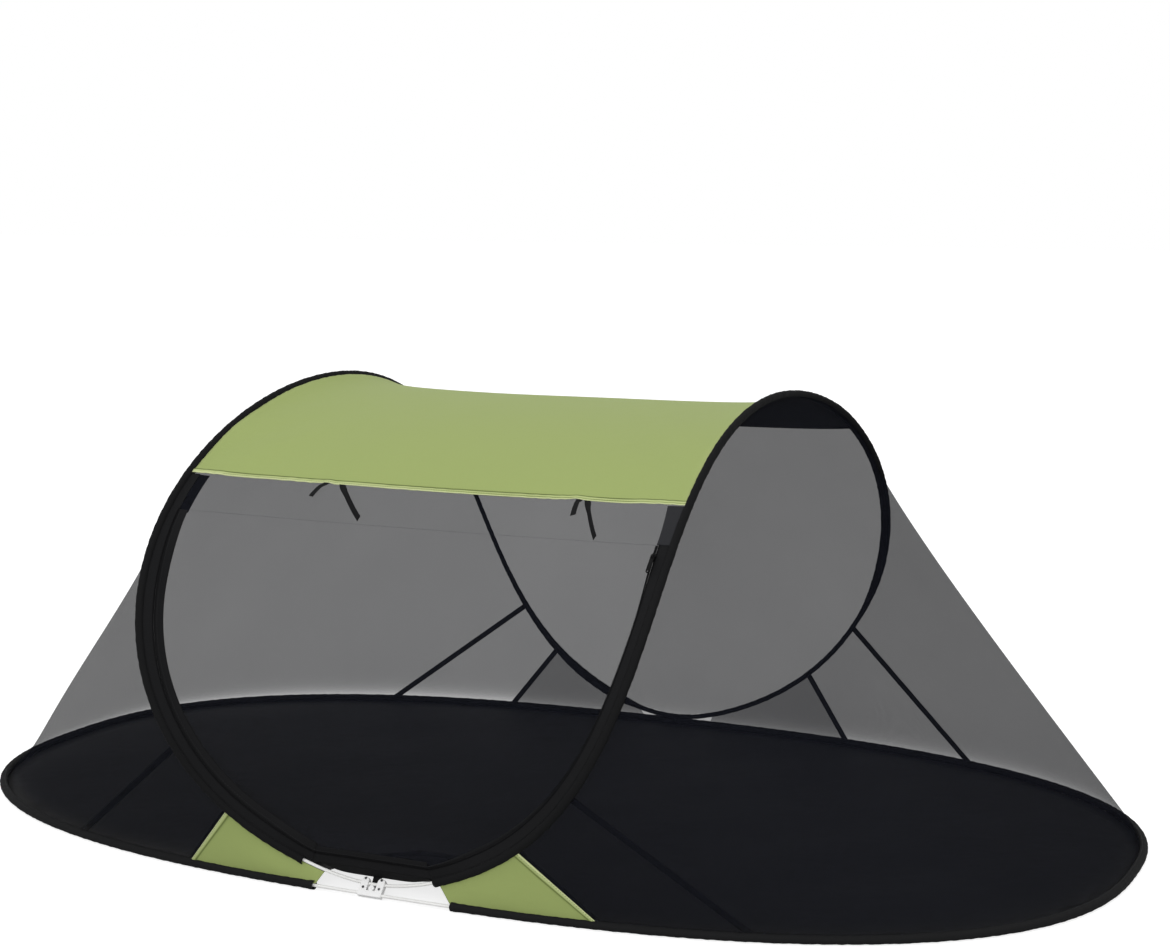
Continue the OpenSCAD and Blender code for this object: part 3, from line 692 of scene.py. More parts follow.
def stitch_tree():
    """A row of stitches along each line of a mesh, each one a little sunk bar of thread."""
    group = bpy.data.node_groups.new("stitch_rows", "GeometryNodeTree")
    face = group.interface
    face.new_socket("Geometry", in_out="INPUT", socket_type="NodeSocketGeometry")
    for name in ("Pitch", "Length", "Width", "Height"):
        face.new_socket(name, in_out="INPUT", socket_type="NodeSocketFloat")
    face.new_socket("Thread", in_out="INPUT", socket_type="NodeSocketMaterial")
    face.new_socket("Geometry", in_out="OUTPUT", socket_type="NodeSocketGeometry")
    given = wire(group, "NodeGroupInput", {}).outputs
    lines = wire(group, "GeometryNodeMeshToCurve", {0: given["Geometry"]}).outputs[0]
    spaced = wire(group, "GeometryNodeResampleCurve",
                  {"Curve": lines, "Length": given["Pitch"]}, mode="LENGTH")
    tangent = wire(group, "GeometryNodeInputTangent", {}).outputs[0]
    out = wire(group, "GeometryNodeInputNamedAttribute", {0: "out"}, data_type="FLOAT_VECTOR").outputs[0]
    along = wire(group, "FunctionNodeAlignRotationToVector", {"Vector": tangent}, axis="X")
    turned = wire(group, "FunctionNodeAlignRotationToVector",
                  {"Rotation": along.outputs[0], "Vector": out}, axis="Z", pivot_axis="X")
    bar = wire(group, "GeometryNodeMeshUVSphere", {"Segments": 6, "Rings": 4, "Radius": 0.5}).outputs[0]
    size = wire(group, "ShaderNodeCombineXYZ", {0: given["Length"], 1: given["Width"], 2: given["Height"]})
    placed = wire(group, "GeometryNodeInstanceOnPoints", {
        "Points": spaced.outputs[0], "Instance": bar,
        "Rotation": turned.outputs[0], "Scale": size.outputs[0],
    })
    real = wire(group, "GeometryNodeRealizeInstances", {0: placed.outputs[0]})
    smooth = wire(group, "GeometryNodeSetShadeSmooth", {0: real.outputs[0]})
    sewn = wire(group, "GeometryNodeSetMaterial", {0: smooth.outputs[0], "Material": given["Thread"]})
    wire(group, "NodeGroupOutput", {0: sewn.outputs[0]})
    return group


stitch_rows = stitch_tree()


def stitches(name, rows, thread, body, slot, pitch=0.0045, length=0.0034, width=0.0008, height=0.0007):
    """Rows of stitches. A row is its points and the ways out of the cloth there."""
    points = np.concatenate([row[0] for row in rows])
    outs = np.concatenate([np.broadcast_to(row[1], row[0].shape) for row in rows])
    starts = np.cumsum([0] + [len(row[0]) for row in rows])
    edges = [(k, k + 1) for a, b in zip(starts[:-1], starts[1:]) for k in range(a, b - 1)]
    lines = bpy.data.meshes.new(name)
    lines.from_pydata(points.tolist(), edges, [])
    ways_out = lines.attributes.new("out", "FLOAT_VECTOR", "POINT")
    ways_out.data.foreach_set("vector", outs.astype(np.float32).ravel())
    piece = add_object(name, lines)
    sewing = piece.modifiers.new("sewing", "NODES")
    sewing.node_group = stitch_rows
    given = {"Pitch": pitch, "Length": length, "Width": width, "Height": height, "Thread": thread}
    for item in stitch_rows.interface.items_tree:
        if item.in_out == "INPUT" and item.name in given:
            sewing[item.identifier] = given[item.name]
    sewn = bpy.data.meshes.new_from_object(piece.evaluated_get(bpy.context.evaluated_depsgraph_get()))
    piece.modifiers.remove(sewing)
    piece.data = sewn
    sewn.name = name
    fit(piece, thread, body, slot)
    return piece


def sewing_thread(name, colour, shade):
    """Twisted polyester thread with a soft gloss."""
    material, tree = new_material(name)
    place = wire(tree, "ShaderNodeTexCoord", {}).outputs["Object"]
    twist = speckle(tree, place, 1500, 2)
    return surfaced(material, {
        "Base Color": blend_colours(tree, twist, shade, colour),
        "Roughness": spread(tree, twist, 0.4, 0.6), "Specular IOR Level": 0.15,
        "Normal": relief(tree, 0.4, 0.0002, twist),
    })


black_thread = sewing_thread("black_thread", (0.020, 0.020, 0.022, 1), (0.009, 0.009, 0.010, 1))
# The base sleeve's cloth is the sleeve cloth painted lighter, to offset the shade that it lies in along the
# floor.
base_cloth = woven("base_cloth", (0.0190, 0.0191, 0.0200, 1), (0.0135, 0.0136, 0.0142, 1),
                   thread=0.0011, roughness=0.75, gloss=0.02, bump_share=0.45)
base_section = 90, 0.0066, 0.0066, 0
base_seam_angle = 54
base_stitch_angles = base_seam_angle - 18, base_seam_angle + 18
base_lowest = 0.0002
sleeve_pitch = 0.005


def seam_line(points, angle):
    """The line of stitches along a sleeve, with the way out at each point."""
    column = round(angle / 360 * sleeve_sides) % sleeve_sides
    outs = unit(points[:, column] - points.mean(1))
    return points[:, column] + thread_stand * outs, outs


def set_sleeve(made, cloth, node, seam_angles):
    """Finishes a sleeve: its cloth, its thickness and its seam."""
    piece, points = made
    fit(piece, cloth, "tent", "sleeve_cloth", node)
    thicken(piece, sleeve_thickness)
    seam = stitches(f"{piece.name}_stitches", [seam_line(points, a) for a in seam_angles],
                    black_thread, "tent", "sleeve_cloth", sleeve_pitch)


def base_end(side):
    """Turn of the base hoop at the end of its sleeve, from the end of the shelter on that side."""
    return math.degrees(math.acos((base_gap[side] / base_half_length) ** (1 / base_power)))


for side, first, last in (("left", 90, 180 + base_end("left")), ("right", 360 - base_end("right"), 450)):
    made = sleeve(f"base_cloth_{side}", base_at, base_ways, first, last, [base_section], base_seam_angle,
                  base_lowest, (side == "right", side == "left"))
    set_sleeve(made, base_cloth, f"base_sleeve_{side}", base_stitch_angles)


# Roof sleeve
# Four lengths of like cloth round the roof rod, open at the clip, with the roof cloth and the net caught
# in their seam. The front two are drawn round, and the back two lie flat and twist along the rod.
roof_end = {"left": 80.8, "right": 81.8}
flat_wide, flat_thin = 0.0088, 0.0042
left_ridge, right_ridge, front_foot = 0.0068, 0.0058, 0.0068
left_twists = (90, 90), (96, 86), (101, 11), (105, 6), (112, -22), (120, -36), (135, -55), (165, -55)
right_twists = (375, -30), (385, -20), (404, -15), (418, 84), (450, 90)
left_back = [(turn, flat_wide, flat_thin, twist) for turn, twist in left_twists]
right_back = [(turn, flat_wide, flat_thin, twist) for turn, twist in right_twists]
roof_sleeves = {
    "back_left": (90, 180, left_back + [(180, left_ridge, left_ridge, -55)], (False, False)),
    "front_left": (180, 180 + roof_end["left"], [(180, left_ridge, left_ridge, 0)], (False, True)),
    "front_right": (360 - roof_end["right"], 360,
                    [(280, front_foot, front_foot, 0), (315, right_ridge, right_ridge, 0)], (True, False)),
    "back_right": (360, 450, [(360, right_ridge, right_ridge, -30)] + right_back, (False, False)),
}
roof_seam_angle = -36
roof_stitch_angles = roof_seam_angle + 36, roof_seam_angle - 18
roof_lowest = -1
sleeve_cloth = woven("sleeve_cloth", (0.0138, 0.0139, 0.0146, 1), (0.0095, 0.0096, 0.0100, 1),
                     thread=0.0011, roughness=0.75, gloss=0.02, bump_share=0.45)
for side, (first, last, sections, hemmed) in roof_sleeves.items():
    made = sleeve(f"roof_cloth_{side}", hoop_at, hoop_ways, first, last, sections, roof_seam_angle,
                  roof_lowest, hemmed)
    set_sleeve(made, sleeve_cloth, f"roof_sleeve_{side}", roof_stitch_angles)


# Roof cloth
# Green woven polyester with a black coated underside, sewn into the roof sleeve on both sides.
# Its front and back edges are folded under twice and held by two rows of stitches.
canopy_front, canopy_back = 0.438, 0.378
fold_width, fold_lift = 0.0096, 0.0013
stitch_in, stitch_sink = (0.0026, 0.0080), 0.0005
stitch_lift, stitch_reach = 0.0021, 0.985
hem_stitch = {"pitch": 0.0042, "length": 0.0034, "width": 0.0007, "height": 0.0006}
edge_round, fold_soft, stitch_dent = 0.0012, 0.001, 0.0009
corner_height, drift_height, pucker_height = 0.0012, 0.0009, 0.0005
canopy_edge, canopy_base = 0.0036, 0.0017
ridge_drop, ridge_reach, ridge_flat = 0.0200, 15, 14
canopy_columns = 121
cloth_thickness = 0.0007


def half_width(lengths, width, samples=1401):
    """Half the width of the roof cloth at places along it, less an inset on each side."""
    rows = np.linspace(-last_row, last_row, samples)
    x, row = inset(rows, width)
    return np.maximum(np.interp(lengths, along_cloth(row), x), 0.002)


def hem_lift(distance):
    """Height of a folded hem above the cloth, by distance from its edge."""
    round_edge = np.sqrt(np.clip(distance / edge_round, 0, 1))
    step = 0.5 - 0.5 * np.tanh((distance - fold_width) / fold_soft)
    sunk = sum(np.exp(-((distance - s) / stitch_dent) ** 2) for s in stitch_in)
    return fold_lift * round_edge * step - stitch_sink * sunk


def crumple(x, length):
    """Faint tension folds of the roof cloth, stronger towards its front corners."""
    corner = np.exp(-((np.abs(x) - 0.36) / 0.14) ** 2) * np.exp(-((length + 0.36) / 0.16) ** 2)
    folds = np.sin(46 * (np.abs(x) + 0.8 * length))
    drift = np.sin(11 * x + 5 * length) * np.sin(9 * length - 4 * x)
    pucker = np.sin(160 * x + 5 * np.sin(31 * x)) * np.exp(-(canopy_front + length) / 0.02)
    return corner_height * corner * folds + drift_height * drift + pucker_height * pucker


tie_tacks = -0.176, 0.246
tack_pull, tack_width, tack_depth = 0.0026, 0.011, 0.014


def tacked(x, length):
    """How far the hem is pulled up where a pair of ties is sewn to it."""
    pull = sum(np.exp(-((x - tack) / tack_width) ** 2) for tack in tie_tacks)
    return tack_pull * pull * np.exp(-(canopy_front + length) / tack_depth)


def graded(first, last, fine, coarse, band):
    """Places along the cloth, close together near both ends."""
    ends = np.arange(0, band, fine)
    middle = np.linspace(first + band, last - band, max(2, round((last - first - 2 * band) / coarse)))
    return np.concatenate([first + ends, middle, (last - ends)[::-1]])


canopy_lengths = graded(-canopy_front, canopy_back, fine=0.0005, coarse=0.008, band=0.016)
canopy_half = half_width(canopy_lengths, canopy_edge)
canopy_x = canopy_half[:, None] * np.linspace(-1, 1, canopy_columns)[None]
from_front = (canopy_lengths + canopy_front)[:, None]
from_back = (canopy_back - canopy_lengths)[:, None]
canopy_rows = row_at(canopy_lengths[:, None] + tacked(canopy_x, canopy_lengths[:, None]))
canopy_lift = hem_lift(from_front) + hem_lift(from_back) + crumple(canopy_x, canopy_lengths[:, None])
across_share = canopy_x / canopy_half[:, None]
canopy_drop = ridge_drop * np.exp(-(canopy_rows / ridge_reach) ** 2) * (1 - across_share ** ridge_flat)
canopy_points = roof_at(canopy_x, canopy_rows, canopy_base + canopy_lift - canopy_drop)
from_side = canopy_half[:, None] - np.abs(canopy_x)


def mark_falloff(distance, reach):
    """Falloff of painted highlight and shade marks with distance from the line that they follow."""
    return np.exp(-(distance / reach) ** 2)


# Painted light on the front hem: a painted highlight along its folded edge and over the hem band, lighter
# cloth along the sides, and painted shade in the inner stitch line and, towards the right, in the outer
# one.
to_right = 0.5 + 0.5 * np.tanh((canopy_x - 0.05) / 0.1)
painted_stitch_shade = mark_falloff(from_front - stitch_in[1], 0.0010)
painted_stitch_shade = painted_stitch_shade + 0.8 * to_right * mark_falloff(from_front - stitch_in[0], 0.0008)
painted_highlight_rows = 0.9 * mark_falloff(from_front, 0.0025) + 0.4 * (from_front < stitch_in[1])
painted_highlight_rows = painted_highlight_rows + 0.3 * mark_falloff(from_side, 0.005)
canopy_painted_light = np.clip(painted_highlight_rows - 1.6 * painted_stitch_shade, -1, 1)
canopy = skin("canopy", canopy_points, marks=canopy_painted_light)
# Its fold colours are a painted highlight for the folded hems and painted shade for their sunk stitch
# lines.
green_cloth = woven("green_cloth", (0.338, 0.412, 0.143, 1), (0.319, 0.389, 0.133, 1),
                    thread=0.0010, roughness=0.68, gloss=0.12, bump_share=0.25,
                    fold=((0.60, 0.66, 0.34, 1), (0.11, 0.14, 0.04, 1)))
black_coat = woven("black_coat", (0.120, 0.116, 0.108, 1), (0.100, 0.097, 0.090, 1),
                   thread=0.0010, roughness=0.8, gloss=0)
fit(canopy, green_cloth, "tent", "green_cloth", "roof_canopy")
thicken(canopy, cloth_thickness, black_coat)
green_thread = sewing_thread("green_thread", (0.20, 0.26, 0.07, 1), (0.13, 0.17, 0.04, 1))


def cloth_row(length, half, lift, count=161):
    """A line straight across the roof cloth, and the ways out of it."""
    x = half * np.linspace(-1, 1, count)
    row = row_at(length + tacked(x, length))
    return roof_at(x, row, lift), cloth_normal(row)


hem_places = [-canopy_front + s for s in stitch_in] + [canopy_back - s for s in stitch_in]
hem_rows = [cloth_row(place, stitch_reach * float(half_width(place, canopy_edge)), stitch_lift)
            for place in hem_places]
hem_stitches = stitches("canopy_stitches", hem_rows, green_thread, "tent", "green_cloth", **hem_stitch)


# Net strip and back net
# Fine black net sewn under the hems of the roof cloth: a narrow strip down to the door in front,
# and one panel down to the floor at the back.
door_top = 0.514
over_door, under_hem = 0.0005, 0.009
net_edge = 0.0034
open_start, open_height = 0.014, 0.010
mesh_pitch = 0.0017
least_cover = 0.1


def net_cloth(name, cover_share, mesh_share, open_share):
    """Black net: dark threads that hide part of what is behind them, in a diamond mesh.

    Just above the floor it lets more light through.
    """
    material, tree = new_material(name)
    place = wire(tree, "ShaderNodeTexCoord", {}).outputs
    u, v, _ = wire(tree, "ShaderNodeSeparateXYZ", {0: place["UV"]}).outputs
    height = wire(tree, "ShaderNodeSeparateXYZ", {0: place["Object"]}).outputs[2]
    turn = 2 * math.pi / mesh_pitch
    one = maths(tree, "SINE", maths(tree, "MULTIPLY", maths(tree, "ADD", u, v), turn))
    other = maths(tree, "SINE", maths(tree, "MULTIPLY", maths(tree, "SUBTRACT", u, v), turn))
    mesh = maths(tree, "MULTIPLY", one, other)
    cloud = speckle(tree, place["Object"], 4, 3)
    clear = maths(tree, "MAXIMUM", maths(tree, "SUBTRACT", height, open_start), 0)
    near_floor = maths(tree, "EXPONENT", maths(tree, "MULTIPLY", clear, -1 / open_height))
    cover = maths(tree, "MULTIPLY_ADD", mesh, mesh_share, cover_share)
    cover = maths(tree, "ADD", cover, spread(tree, cloud, -0.02, 0.02))
    cover = maths(tree, "SUBTRACT", cover, maths(tree, "MULTIPLY", near_floor, open_share))
    tone = blend_colours(tree, cloud, (0.0072, 0.0080, 0.0118, 1), (0.0098, 0.0107, 0.0150, 1))
    return surfaced(material, {
        "Base Color": tone, "Alpha": maths(tree, "MAXIMUM", cover, least_cover),
        "Roughness": spread(tree, mesh, 0.6, 0.75), "Specular IOR Level": 0,
    })


net = net_cloth("fine_net", cover_share=0.617, mesh_share=0.13, open_share=0.44)


def roof_sheet(name, first, last, width, lift, step=0.012, columns=61):
    """A sheet across the roof hoop between two places along the cloth."""
    lengths = np.linspace(first, last, max(4, round((last - first) / step)))
    x = half_width(lengths, width)[:, None] * np.linspace(-1, 1, columns)[None]
    points = roof_at(x, row_at(lengths)[:, None], lift)
    return skin(name, points), points


back_foot = float(along_cloth(90)) - net_edge
net_sheets = {
    "strip_net": (-door_top - over_door, -canopy_front + under_hem, "front_net_strip"),
    "back_net": (canopy_back - under_hem, back_foot, "back_net_panel"),
}
for name, (first, last, node) in net_sheets.items():
    piece, points = roof_sheet(name, first, last, net_edge, 0)
    fit(piece, net, "tent", "black_net", node)


# End walls
# Each end is three pieces of net, drawn straight from the roof sleeve down to the base sleeve:
# a wide one round the end and a narrow one towards the front and the back.
front_seam_turn, front_seam_foot = 60, 59.4
back_seam_turn = {"left": 59.3, "right": 57.9}
back_seam_foot = {"left": 58.3, "right": 57.6}
front_gusset_turn = 69.8
front_gusset_foot = {"left": 75.3, "right": 73.4}
back_gusset_turn, back_gusset_foot = 67.9, 74.2
wall_tuck = 0.0034
wall_draw, strip_draw = 0.018, 0.002
foot_draw = {"left": 0.014, "right": 0.0}
sides = {"left": -1, "right": 1}


def wall_points(t0, t1, s0, s1, side, step=0.012, rows=49, drawn_in=0.0, foot_in=0.0):
    """Points of a wall sheet, by turns of the roof hoop and the base hoop.

    The tight sheet is drawn in between its seams, below the roof hoop and just above the floor.
    """
    count = max(5, round(np.linalg.norm(base_at(np.array(s1)) - base_at(np.array(s0))) / step))
    share = np.linspace(0, 1, count)
    top = hoop_at(t0 + (t1 - t0) * share)
    foot = base_at(s0 + (s1 - s0) * share)
    way = unit(foot - top)
    top, foot = top + wall_tuck * way, foot - wall_tuck * way
    down = np.linspace(0, 1, rows)[None, :, None]
    points = top[:, None] * (1 - down) + foot[:, None] * down
    normal = unit(np.cross(np.gradient(points, axis=0), way[:, None]))
    inward = normal * np.sign((normal * (inside_point - points)).sum())
    between_seams = (4 * share * (1 - share)) ** 0.7
    from_foot = (1 - down) / 0.1
    profile = drawn_in * np.sin(np.pi * down ** 0.6) + foot_in * from_foot * np.exp(1 - from_foot)
    depth = between_seams[:, None, None] * profile
    return (points + depth * inward) * np.array([side, 1, 1])


wall_nets = {
    "left": net_cloth("left_net", cover_share=0.636, mesh_share=0.12, open_share=0.62),
    "right": net_cloth("right_net", cover_share=0.678, mesh_share=0.12, open_share=0.33),
}
for side, sign in sides.items():
    gusset_foot, seam_turn, seam_foot = front_gusset_foot[side], back_seam_turn[side], back_seam_foot[side]
    wall_sheets = {
        "wall_net": wall_points(-front_seam_turn, seam_turn, -front_seam_foot, seam_foot, sign,
                                drawn_in=wall_draw, foot_in=foot_draw[side]),
        "front_net": wall_points(-front_gusset_turn, -front_seam_turn, -gusset_foot, -front_seam_foot, sign,
                                 drawn_in=strip_draw),
        "back_net": wall_points(seam_turn, back_gusset_turn, seam_foot, back_gusset_foot, sign,
                                drawn_in=strip_draw),
    }
    for name, points in wall_sheets.items():
        piece = skin(f"{side}_end_{name}", points)
        fit(piece, wall_nets[side], "tent", "black_net", f"{side}_{name}")


# Gussets
# Two small panels of the roof cloth close the corners beside the clip, and their outer edge is folded
# and stitched. At the back the same corners are closed by doubled net.
gusset_coat = woven("gusset_coat", (0.020, 0.020, 0.022, 1), (0.014, 0.014, 0.015, 1),
                    thread=0.0010, roughness=0.5, gloss=0.08)
double_net = net_cloth("double_net", cover_share=0.80, mesh_share=0.07, open_share=0.2)
gusset_end = {"left": 83.7, "right": 81.4}
back_gusset_end, base_back_end = 84, 88.06
gusset_bulge = 0.004
gusset_lift = 0.0006
gusset_step = 0.0025
for side, sign in sides.items():
    points = wall_points(-front_gusset_turn, -gusset_end[side],
                         -front_gusset_foot[side], -base_end(side), sign, step=gusset_step)
    from_seam = np.linalg.norm(points - points[:1], axis=-1)
    along, down = np.linspace(0, 1, points.shape[0])[:, None], np.linspace(0, 1, points.shape[1])[None]
    bulge = gusset_bulge * np.sin(np.pi * along) * np.sin(np.pi * down)
    normal = unit(np.cross(np.gradient(points, axis=0), np.gradient(points, axis=1)))
    outward = normal * np.sign((normal * (points - inside_point)).sum())
    points = points + (gusset_lift + bulge + hem_lift(from_seam))[..., None] * outward
    # Painted light on the folded outer edge: a painted highlight along it and over the hem band, and
    # painted shade in the inner stitch line.
    marks = 0.9 * mark_falloff(from_seam, 0.003) + 0.25 * (from_seam < stitch_in[1])
    marks = marks - 1.4 * mark_falloff(from_seam - stitch_in[1], 0.0012)
    piece = skin(f"gusset_front_{side}", points, marks=np.clip(marks, -1, 1))
    fit(piece, green_cloth, "tent", "green_cloth", f"front_gusset_{side}")
    thicken(piece, cloth_thickness, gusset_coat)
    rows = []
    for reach in stitch_in:
        nearest = np.abs(from_seam - reach).argmin(0)
        k = np.arange(points.shape[1])
        rows.append((points[nearest, k] + 2 * thread_stand * outward[nearest, k], outward[nearest, k]))
    seam = stitches(f"gusset_front_{side}_stitches", rows, green_thread,
                    "tent", "green_cloth", **hem_stitch)
    points = wall_points(back_gusset_turn, back_gusset_end, back_gusset_foot, base_back_end, sign)
    piece = skin(f"gusset_back_{side}", points)
    fit(piece, double_net, "tent", "black_net", f"back_gusset_{side}")


# Seam tapes
# Narrow black woven tape sewn over each wall seam on the inside, from the roof sleeve to the base sleeve.
seam_cloth = woven("seam_cloth", (0.0260, 0.0261, 0.0270, 1), (0.0200, 0.0201, 0.0208, 1),
                   thread=0.0008, roughness=0.75, gloss=0.02, bump_share=0.5)
seam_inset, seam_bow = 0.0012, 0.0002


def seam_strip(t, s, side):
    """Points of a tape along a straight wall seam, just inside the net."""
    near = wall_points(t - slope_turn, t + slope_turn, s - slope_turn, s + slope_turn, side,
                       step=1, rows=41)
    line = near[len(near) // 2]
    along = unit(np.gradient(line, axis=0))
    normal = unit(np.cross(along, near[-1] - near[0]))
    inward = normal * np.sign((normal * (inside_point - line)).sum())
    wide = unit(np.cross(inward, along))
    across = np.linspace(-0.5, 0.5, 7)
    bow = seam_bow * np.sin(np.arange(len(line)) * 0.9)
    middle = line + (seam_inset + bow)[:, None] * inward
    return middle[:, None] + tape_width * across[None, :, None] * wide[:, None]


for side, sign in sides.items():
    seams = {
        f"seam_tape_{side}_front": (-front_seam_turn, -front_seam_foot),
        f"seam_tape_{side}_back": (back_seam_turn[side], back_seam_foot[side]),
        f"gusset_tape_{side}_front": (-front_gusset_turn, -front_gusset_foot[side]),
        f"gusset_tape_{side}_back": (back_gusset_turn, back_gusset_foot),
    }
    for node, (t, s) in seams.items():
        points = seam_strip(t, s, sign)
        piece = skin(f"{node}_cloth", points)
        sew_tape(piece, points, seam_cloth, "tent", ["roof_rod", "base_rod"], node)


# Zip tapes
# The fixed half of the door's zip: woven tape down both sides inside the roof sleeve and across the bottom,
# with its half of the coil along the free edge.
zip_fixed = 0.015
moving_gap = 0.0006
zip_line = sleeve_inset + zip_fixed + moving_gap / 2
zip_outer, zip_inner = 0.0058, zip_line - moving_gap / 2
zip_lift, hem_clear = 0.0006, 0.0008
bottom_columns = 8
door_row = float(row_at(-door_top))
fixed_slope = 0.34
door_slope = {-1: 1.0, 1: 2.4}
slope_in_top, slope_in_foot = 10, 8
tape_cloth = woven("tape_cloth", (0.0155, 0.0156, 0.0166, 1), (0.0108, 0.0109, 0.0116, 1),
                   thread=0.0008, roughness=0.75, gloss=0.02, bump_share=0.5)


def eased(share):
    """A share from 0 to 1 that starts and stops softly."""
    s = np.clip(share, 0, 1)
    return s * s * (3 - 2 * s)


def zip_held(row):
    """How far the tight door draws the zip in: not at all at its two ends, fully between them."""
    return eased((door_row - row) / slope_in_top) * eased((row + roof_gap_turn) / slope_in_foot)


def zip_sink(row, width, side):
    """Depth of the zip tapes below the roof cloth, as they slope inwards from the sleeve to the net."""
    fixed = fixed_slope * np.clip(width - sleeve_inset, 0, zip_fixed)
    return zip_held(row) * (fixed + door_slope[side] * np.clip(width - zip_line, 0, None))


def side_strip(name, side, start_row, end_row, outer, inner, lift, columns=9, count=150, loose=0):
    """A strip that follows one side of the roof hoop, between two insets.

    Loose is how much wider it lies where the zip isn't drawn in.
    """
    rows = np.linspace(start_row, end_row, count)
    full = inner - outer + loose * (1 - zip_held(rows))
    lines = []
    for width in (outer + share * full for share in np.linspace(0, 1, columns)):
        x, row = inset(rows, width)
        lines.append(roof_at(x * side, row, lift - zip_sink(rows, width, side)))
    points = np.stack(lines, 1)
    return skin(name, points), points


def bottom_strip(name, low_row, high_row, halves, lift):
    """A strip across the bottom of the door, between two rows of the cloth."""
    rows = row_at(np.linspace(along_cloth(low_row), along_cloth(high_row), bottom_columns))
    points = roof_at(halves * np.linspace(-1, 1, 61)[:, None], rows[None], lift)
    return skin(name, points), points


hem_front_row = float(row_at(-canopy_front - hem_clear))
for side, sign in sides.items():
    piece, points = side_strip(f"zip_edge_{side}", sign, -roof_gap_turn, hem_front_row,
                               zip_outer, zip_inner, zip_lift)
    sew_tape(piece, points, tape_cloth, "tent", ["roof_rod"], f"zip_tape_{side}")
low_x, low_row = inset(np.array(-roof_gap_turn), zip_outer)
high_x, high_row = inset(np.array(-roof_gap_turn), zip_inner)
bottom_halves = np.linspace(low_x, high_x, bottom_columns)
zip_bottom, bottom_points = bottom_strip("zip_edge_bottom", low_row, high_row, bottom_halves, zip_lift)
sew_tape(zip_bottom, bottom_points, tape_cloth, "tent", ["roof_rod"], "zip_tape_bottom")


def coil_line(width, lift, short=0.0):
    """The line of the zip: down the right side of the door, across its bottom and up the left side.

    Short is how far below the top of the door it starts.
    """
    rows = np.linspace(float(row_at(-door_top - short)), -roof_gap_turn, 160)
    x, row = inset(rows, width)
    bottom = np.linspace(x[-1], -x[-1], 40)[1:-1]
    xs = np.concatenate([x, bottom, -x[::-1]])
    all_rows = np.concatenate([row, np.full(len(bottom), row[-1]), row[::-1]])
    right_sink, left_sink = zip_sink(rows, width, 1), zip_sink(rows, width, -1)
    sinks = np.concatenate([right_sink, np.full(len(bottom), right_sink[-1]), left_sink[::-1]])
    return roof_at(xs, all_rows, lift - sinks), cloth_normal(all_rows)


coil_plastic = moulded_plastic("coil_plastic", (0.006, 0.006, 0.0068, 1), (0.0035, 0.0035, 0.004, 1),
                               gloss=0.06, rough=(0.5, 0.65))
coil_aside, coil_lift = 0.0012, 0.0012
coil = {"pitch": 0.0016, "length": 0.0010, "width": 0.0030, "height": 0.0014}
fixed_coil = coil_line(zip_line - coil_aside, coil_lift)
stitches("zip_coil_fixed", [fixed_coil], coil_plastic, "tent", "tape", **coil)


# Door
# One panel of the same net that hangs from the strip above it. Its own half of the zip tape is sewn
# round its two sides and its bottom, with the other half of the coil.
door_edge = zip_line + moving_gap / 2
door_draw = 0.021
tape_shown = {"left": 0.0105, "right": 0.0040, "bottom": 0.0112}
tape_loose = {"left": 0.0060, "right": 0.0}
door_tape_lift, bottom_tape_lift, tape_seam_lift = 0.0013, 0.0011, 0.0014
tape_seam_in = 0.0035
tape_short, coil_short = 0.0016, 0.0030
door_coil_lift = 0.0014
foot_x, foot_row = inset(np.array(-roof_gap_turn), door_edge)
door_rows = np.linspace(-roof_gap_turn, door_row, 64)
door_x, door_cloth_rows = inset(door_rows, door_edge)
door_shares = np.linspace(-1, 1, 61)
door_depth = np.where(np.abs(door_shares) < 1, door_draw, fixed_slope * zip_fixed)
door_sink = door_depth[None] * zip_held(door_rows)[:, None]
door_points = roof_at(door_x[:, None] * door_shares[None], door_cloth_rows[:, None], -door_sink)
door = skin("door_cloth", door_points)
fit(door, net, "door", "black_net", "door_net")
strips = []
tape_top_row = float(row_at(-door_top - tape_short))
for side, sign in sides.items():
    strips.append(side_strip(f"door_tape_{side}", sign, -roof_gap_turn, tape_top_row, door_edge,
                             door_edge + tape_shown[side], door_tape_lift, loose=tape_loose[side]))
_, tape_row = inset(np.array(-roof_gap_turn), door_edge + tape_shown["bottom"])
strips.append(bottom_strip("door_tape_bottom", foot_row, tape_row, foot_x, bottom_tape_lift))
for piece, points in strips:
    sew_tape(piece, points, tape_cloth, "door", ["door_cloth"])
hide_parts("door_zip_tape")
door_coil = coil_line(zip_line + coil_aside, door_coil_lift, coil_short)
stitches("zip_coil_door", [door_coil], coil_plastic, "door", "tape", **coil)
tape_seam = coil_line(door_edge + tape_seam_in, tape_seam_lift, coil_short)
stitches("door_tape_stitches", [tape_seam], black_thread, "door", "tape", sleeve_pitch)


# Zip garage
# A folded flap of tape at the top right of the door, which the closed slider parks against.
# At the top left the zip ends on a plain flap of the same tape, sewn flat behind the net strip.
flap_columns, flap_count = 13, 40
garage_over, garage_flare, garage_gap = 0.0030, 0.0060, 0.0002
garage_lift, garage_thickness = 0.0012, 0.0012
garage_row = float(row_at(-door_top + garage_gap))
garage_inner = zip_line + garage_over + garage_flare * np.linspace(0, 1, flap_count) ** 2
garage, garage_points = side_strip("garage_flap", 1, garage_row, hem_front_row, zip_outer, garage_inner,
                                   garage_lift, flap_columns, flap_count)
garage_cloth = woven("garage_cloth", (0.020, 0.0205, 0.024, 1), (0.014, 0.0145, 0.017, 1),
                     thread=0.0011, roughness=0.6, gloss=0.1, bump_share=0.4)
fit(garage, garage_cloth, "tent", "tape", "zip_garage")
thicken(garage, garage_thickness)
left_end_over, left_end_sink, left_end_down = 0.0168, 0.0008, 0.005
left_end_row = float(row_at(-door_top - left_end_down))
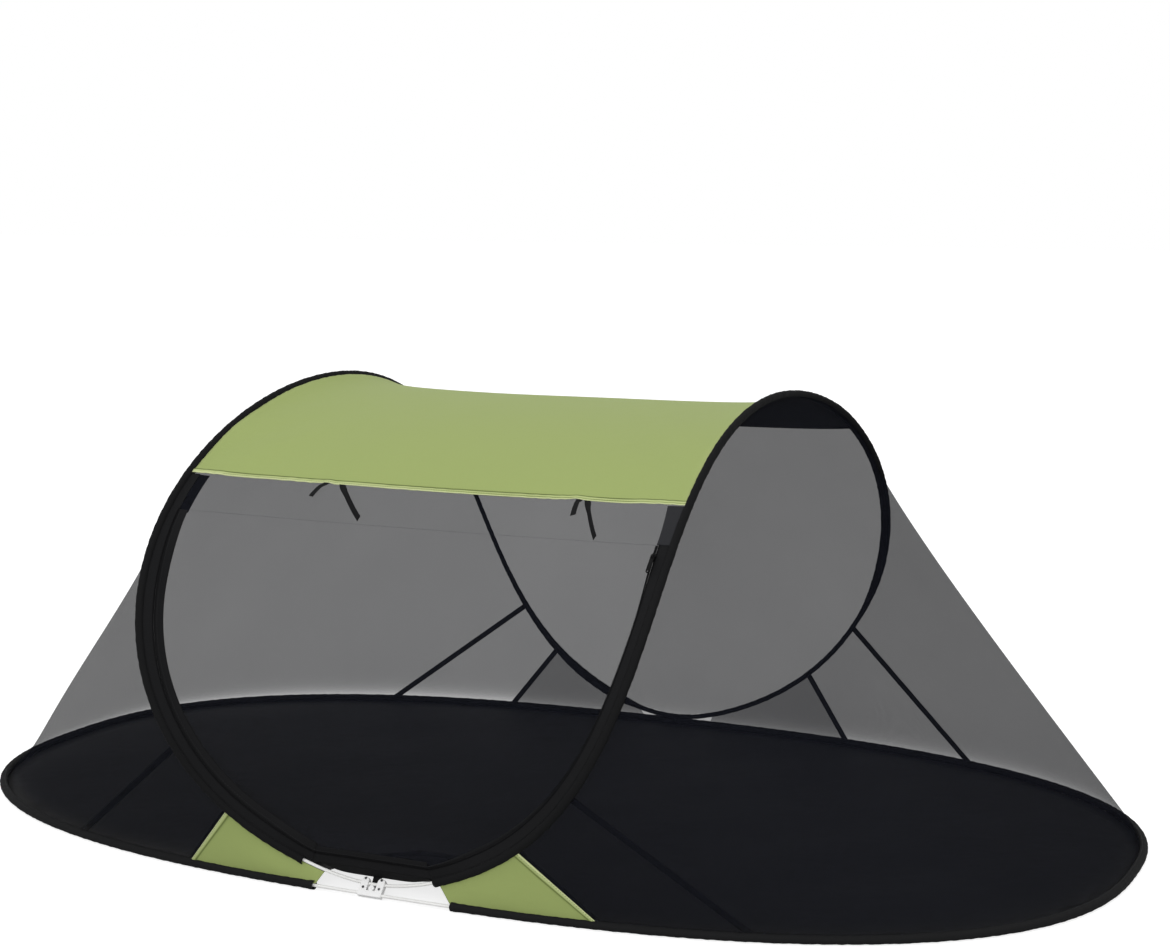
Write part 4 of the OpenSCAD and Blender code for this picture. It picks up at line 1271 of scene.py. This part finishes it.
left_end, left_end_points = side_strip("zip_end_left", -1, left_end_row, hem_front_row, zip_outer,
                                       zip_line + left_end_over, -left_end_sink, flap_columns, flap_count)
sew_tape(left_end, left_end_points, tape_cloth, "tent", ["strip_net"])


# Slider and pull
# A small black die cast slider on the zip, with a flat pull that hangs from the pin in its arch.
slider_edge, pull_edge = 0.0004, 0.0003
zip_lacquer = drawn_metal("zip_lacquer", (0.006, 0.006, 0.0066, 1), (0.003, 0.003, 0.0033, 1),
                          metallic=0, rough=(0.45, 0.62), scale=1500, gloss=0.06)
slider_body = rounded_copy("slider_body", "zip_slider", slider_edge, 2)
fit(slider_body, zip_lacquer, "zip_slider", "zip_metal", "zip_slider")
slider_pull = rounded_copy("slider_pull", "zip_pull", pull_edge, 2)
fit(slider_pull, zip_lacquer, "zip_pull", "zip_metal", "zip_pull")


# Ties
# Two pairs of black ribbon sewn under the front hem. They hold the door when it is rolled up,
# and lie loose on the net strip while it is shut.
tie_width, tie_thickness = 0.0102, 0.0005
tie_tuck, tie_free = 0.002, 0.01
tie_lift, tie_rise = 0.0012, 0.0040
tie_turn_share = 0.4
ties = {
    "left_tie_short": (-0.175, 0.037, -20, 0.002, 12),
    "left_tie_long": (-0.149, 0.093, 40, 0.004, 40),
    "right_tie_short": (0.254, 0.036, 5, 0.001, 20),
    "right_tie_long": (0.267, 0.084, 26, 0.003, 48),
}
for name, (root_x, length, lean, bend, twist) in ties.items():
    run = np.linspace(0, length, 33)[:, None]
    share = run / length
    across = tie_width * np.linspace(-0.5, 0.5, 9)[None]
    way = math.radians(lean)
    risen = eased(share / tie_turn_share)
    turned = np.radians(twist) * risen
    wide = across * np.cos(turned)
    x = root_x + run * math.sin(way) + bend * share ** 4 + wide * math.cos(way)
    leaning = wide * math.sin(way) * np.clip(run / tie_free, 0, 1)
    place = -canopy_front + tie_tuck - run * math.cos(way) + leaning
    curl = tie_lift + tie_rise * risen + across * np.sin(turned)
    points = roof_at(x, row_at(place), curl)
    piece = skin(f"{name}_ribbon", points)
    fit(piece, tape_cloth, name, "tape", name)
    thicken(piece, tie_thickness)
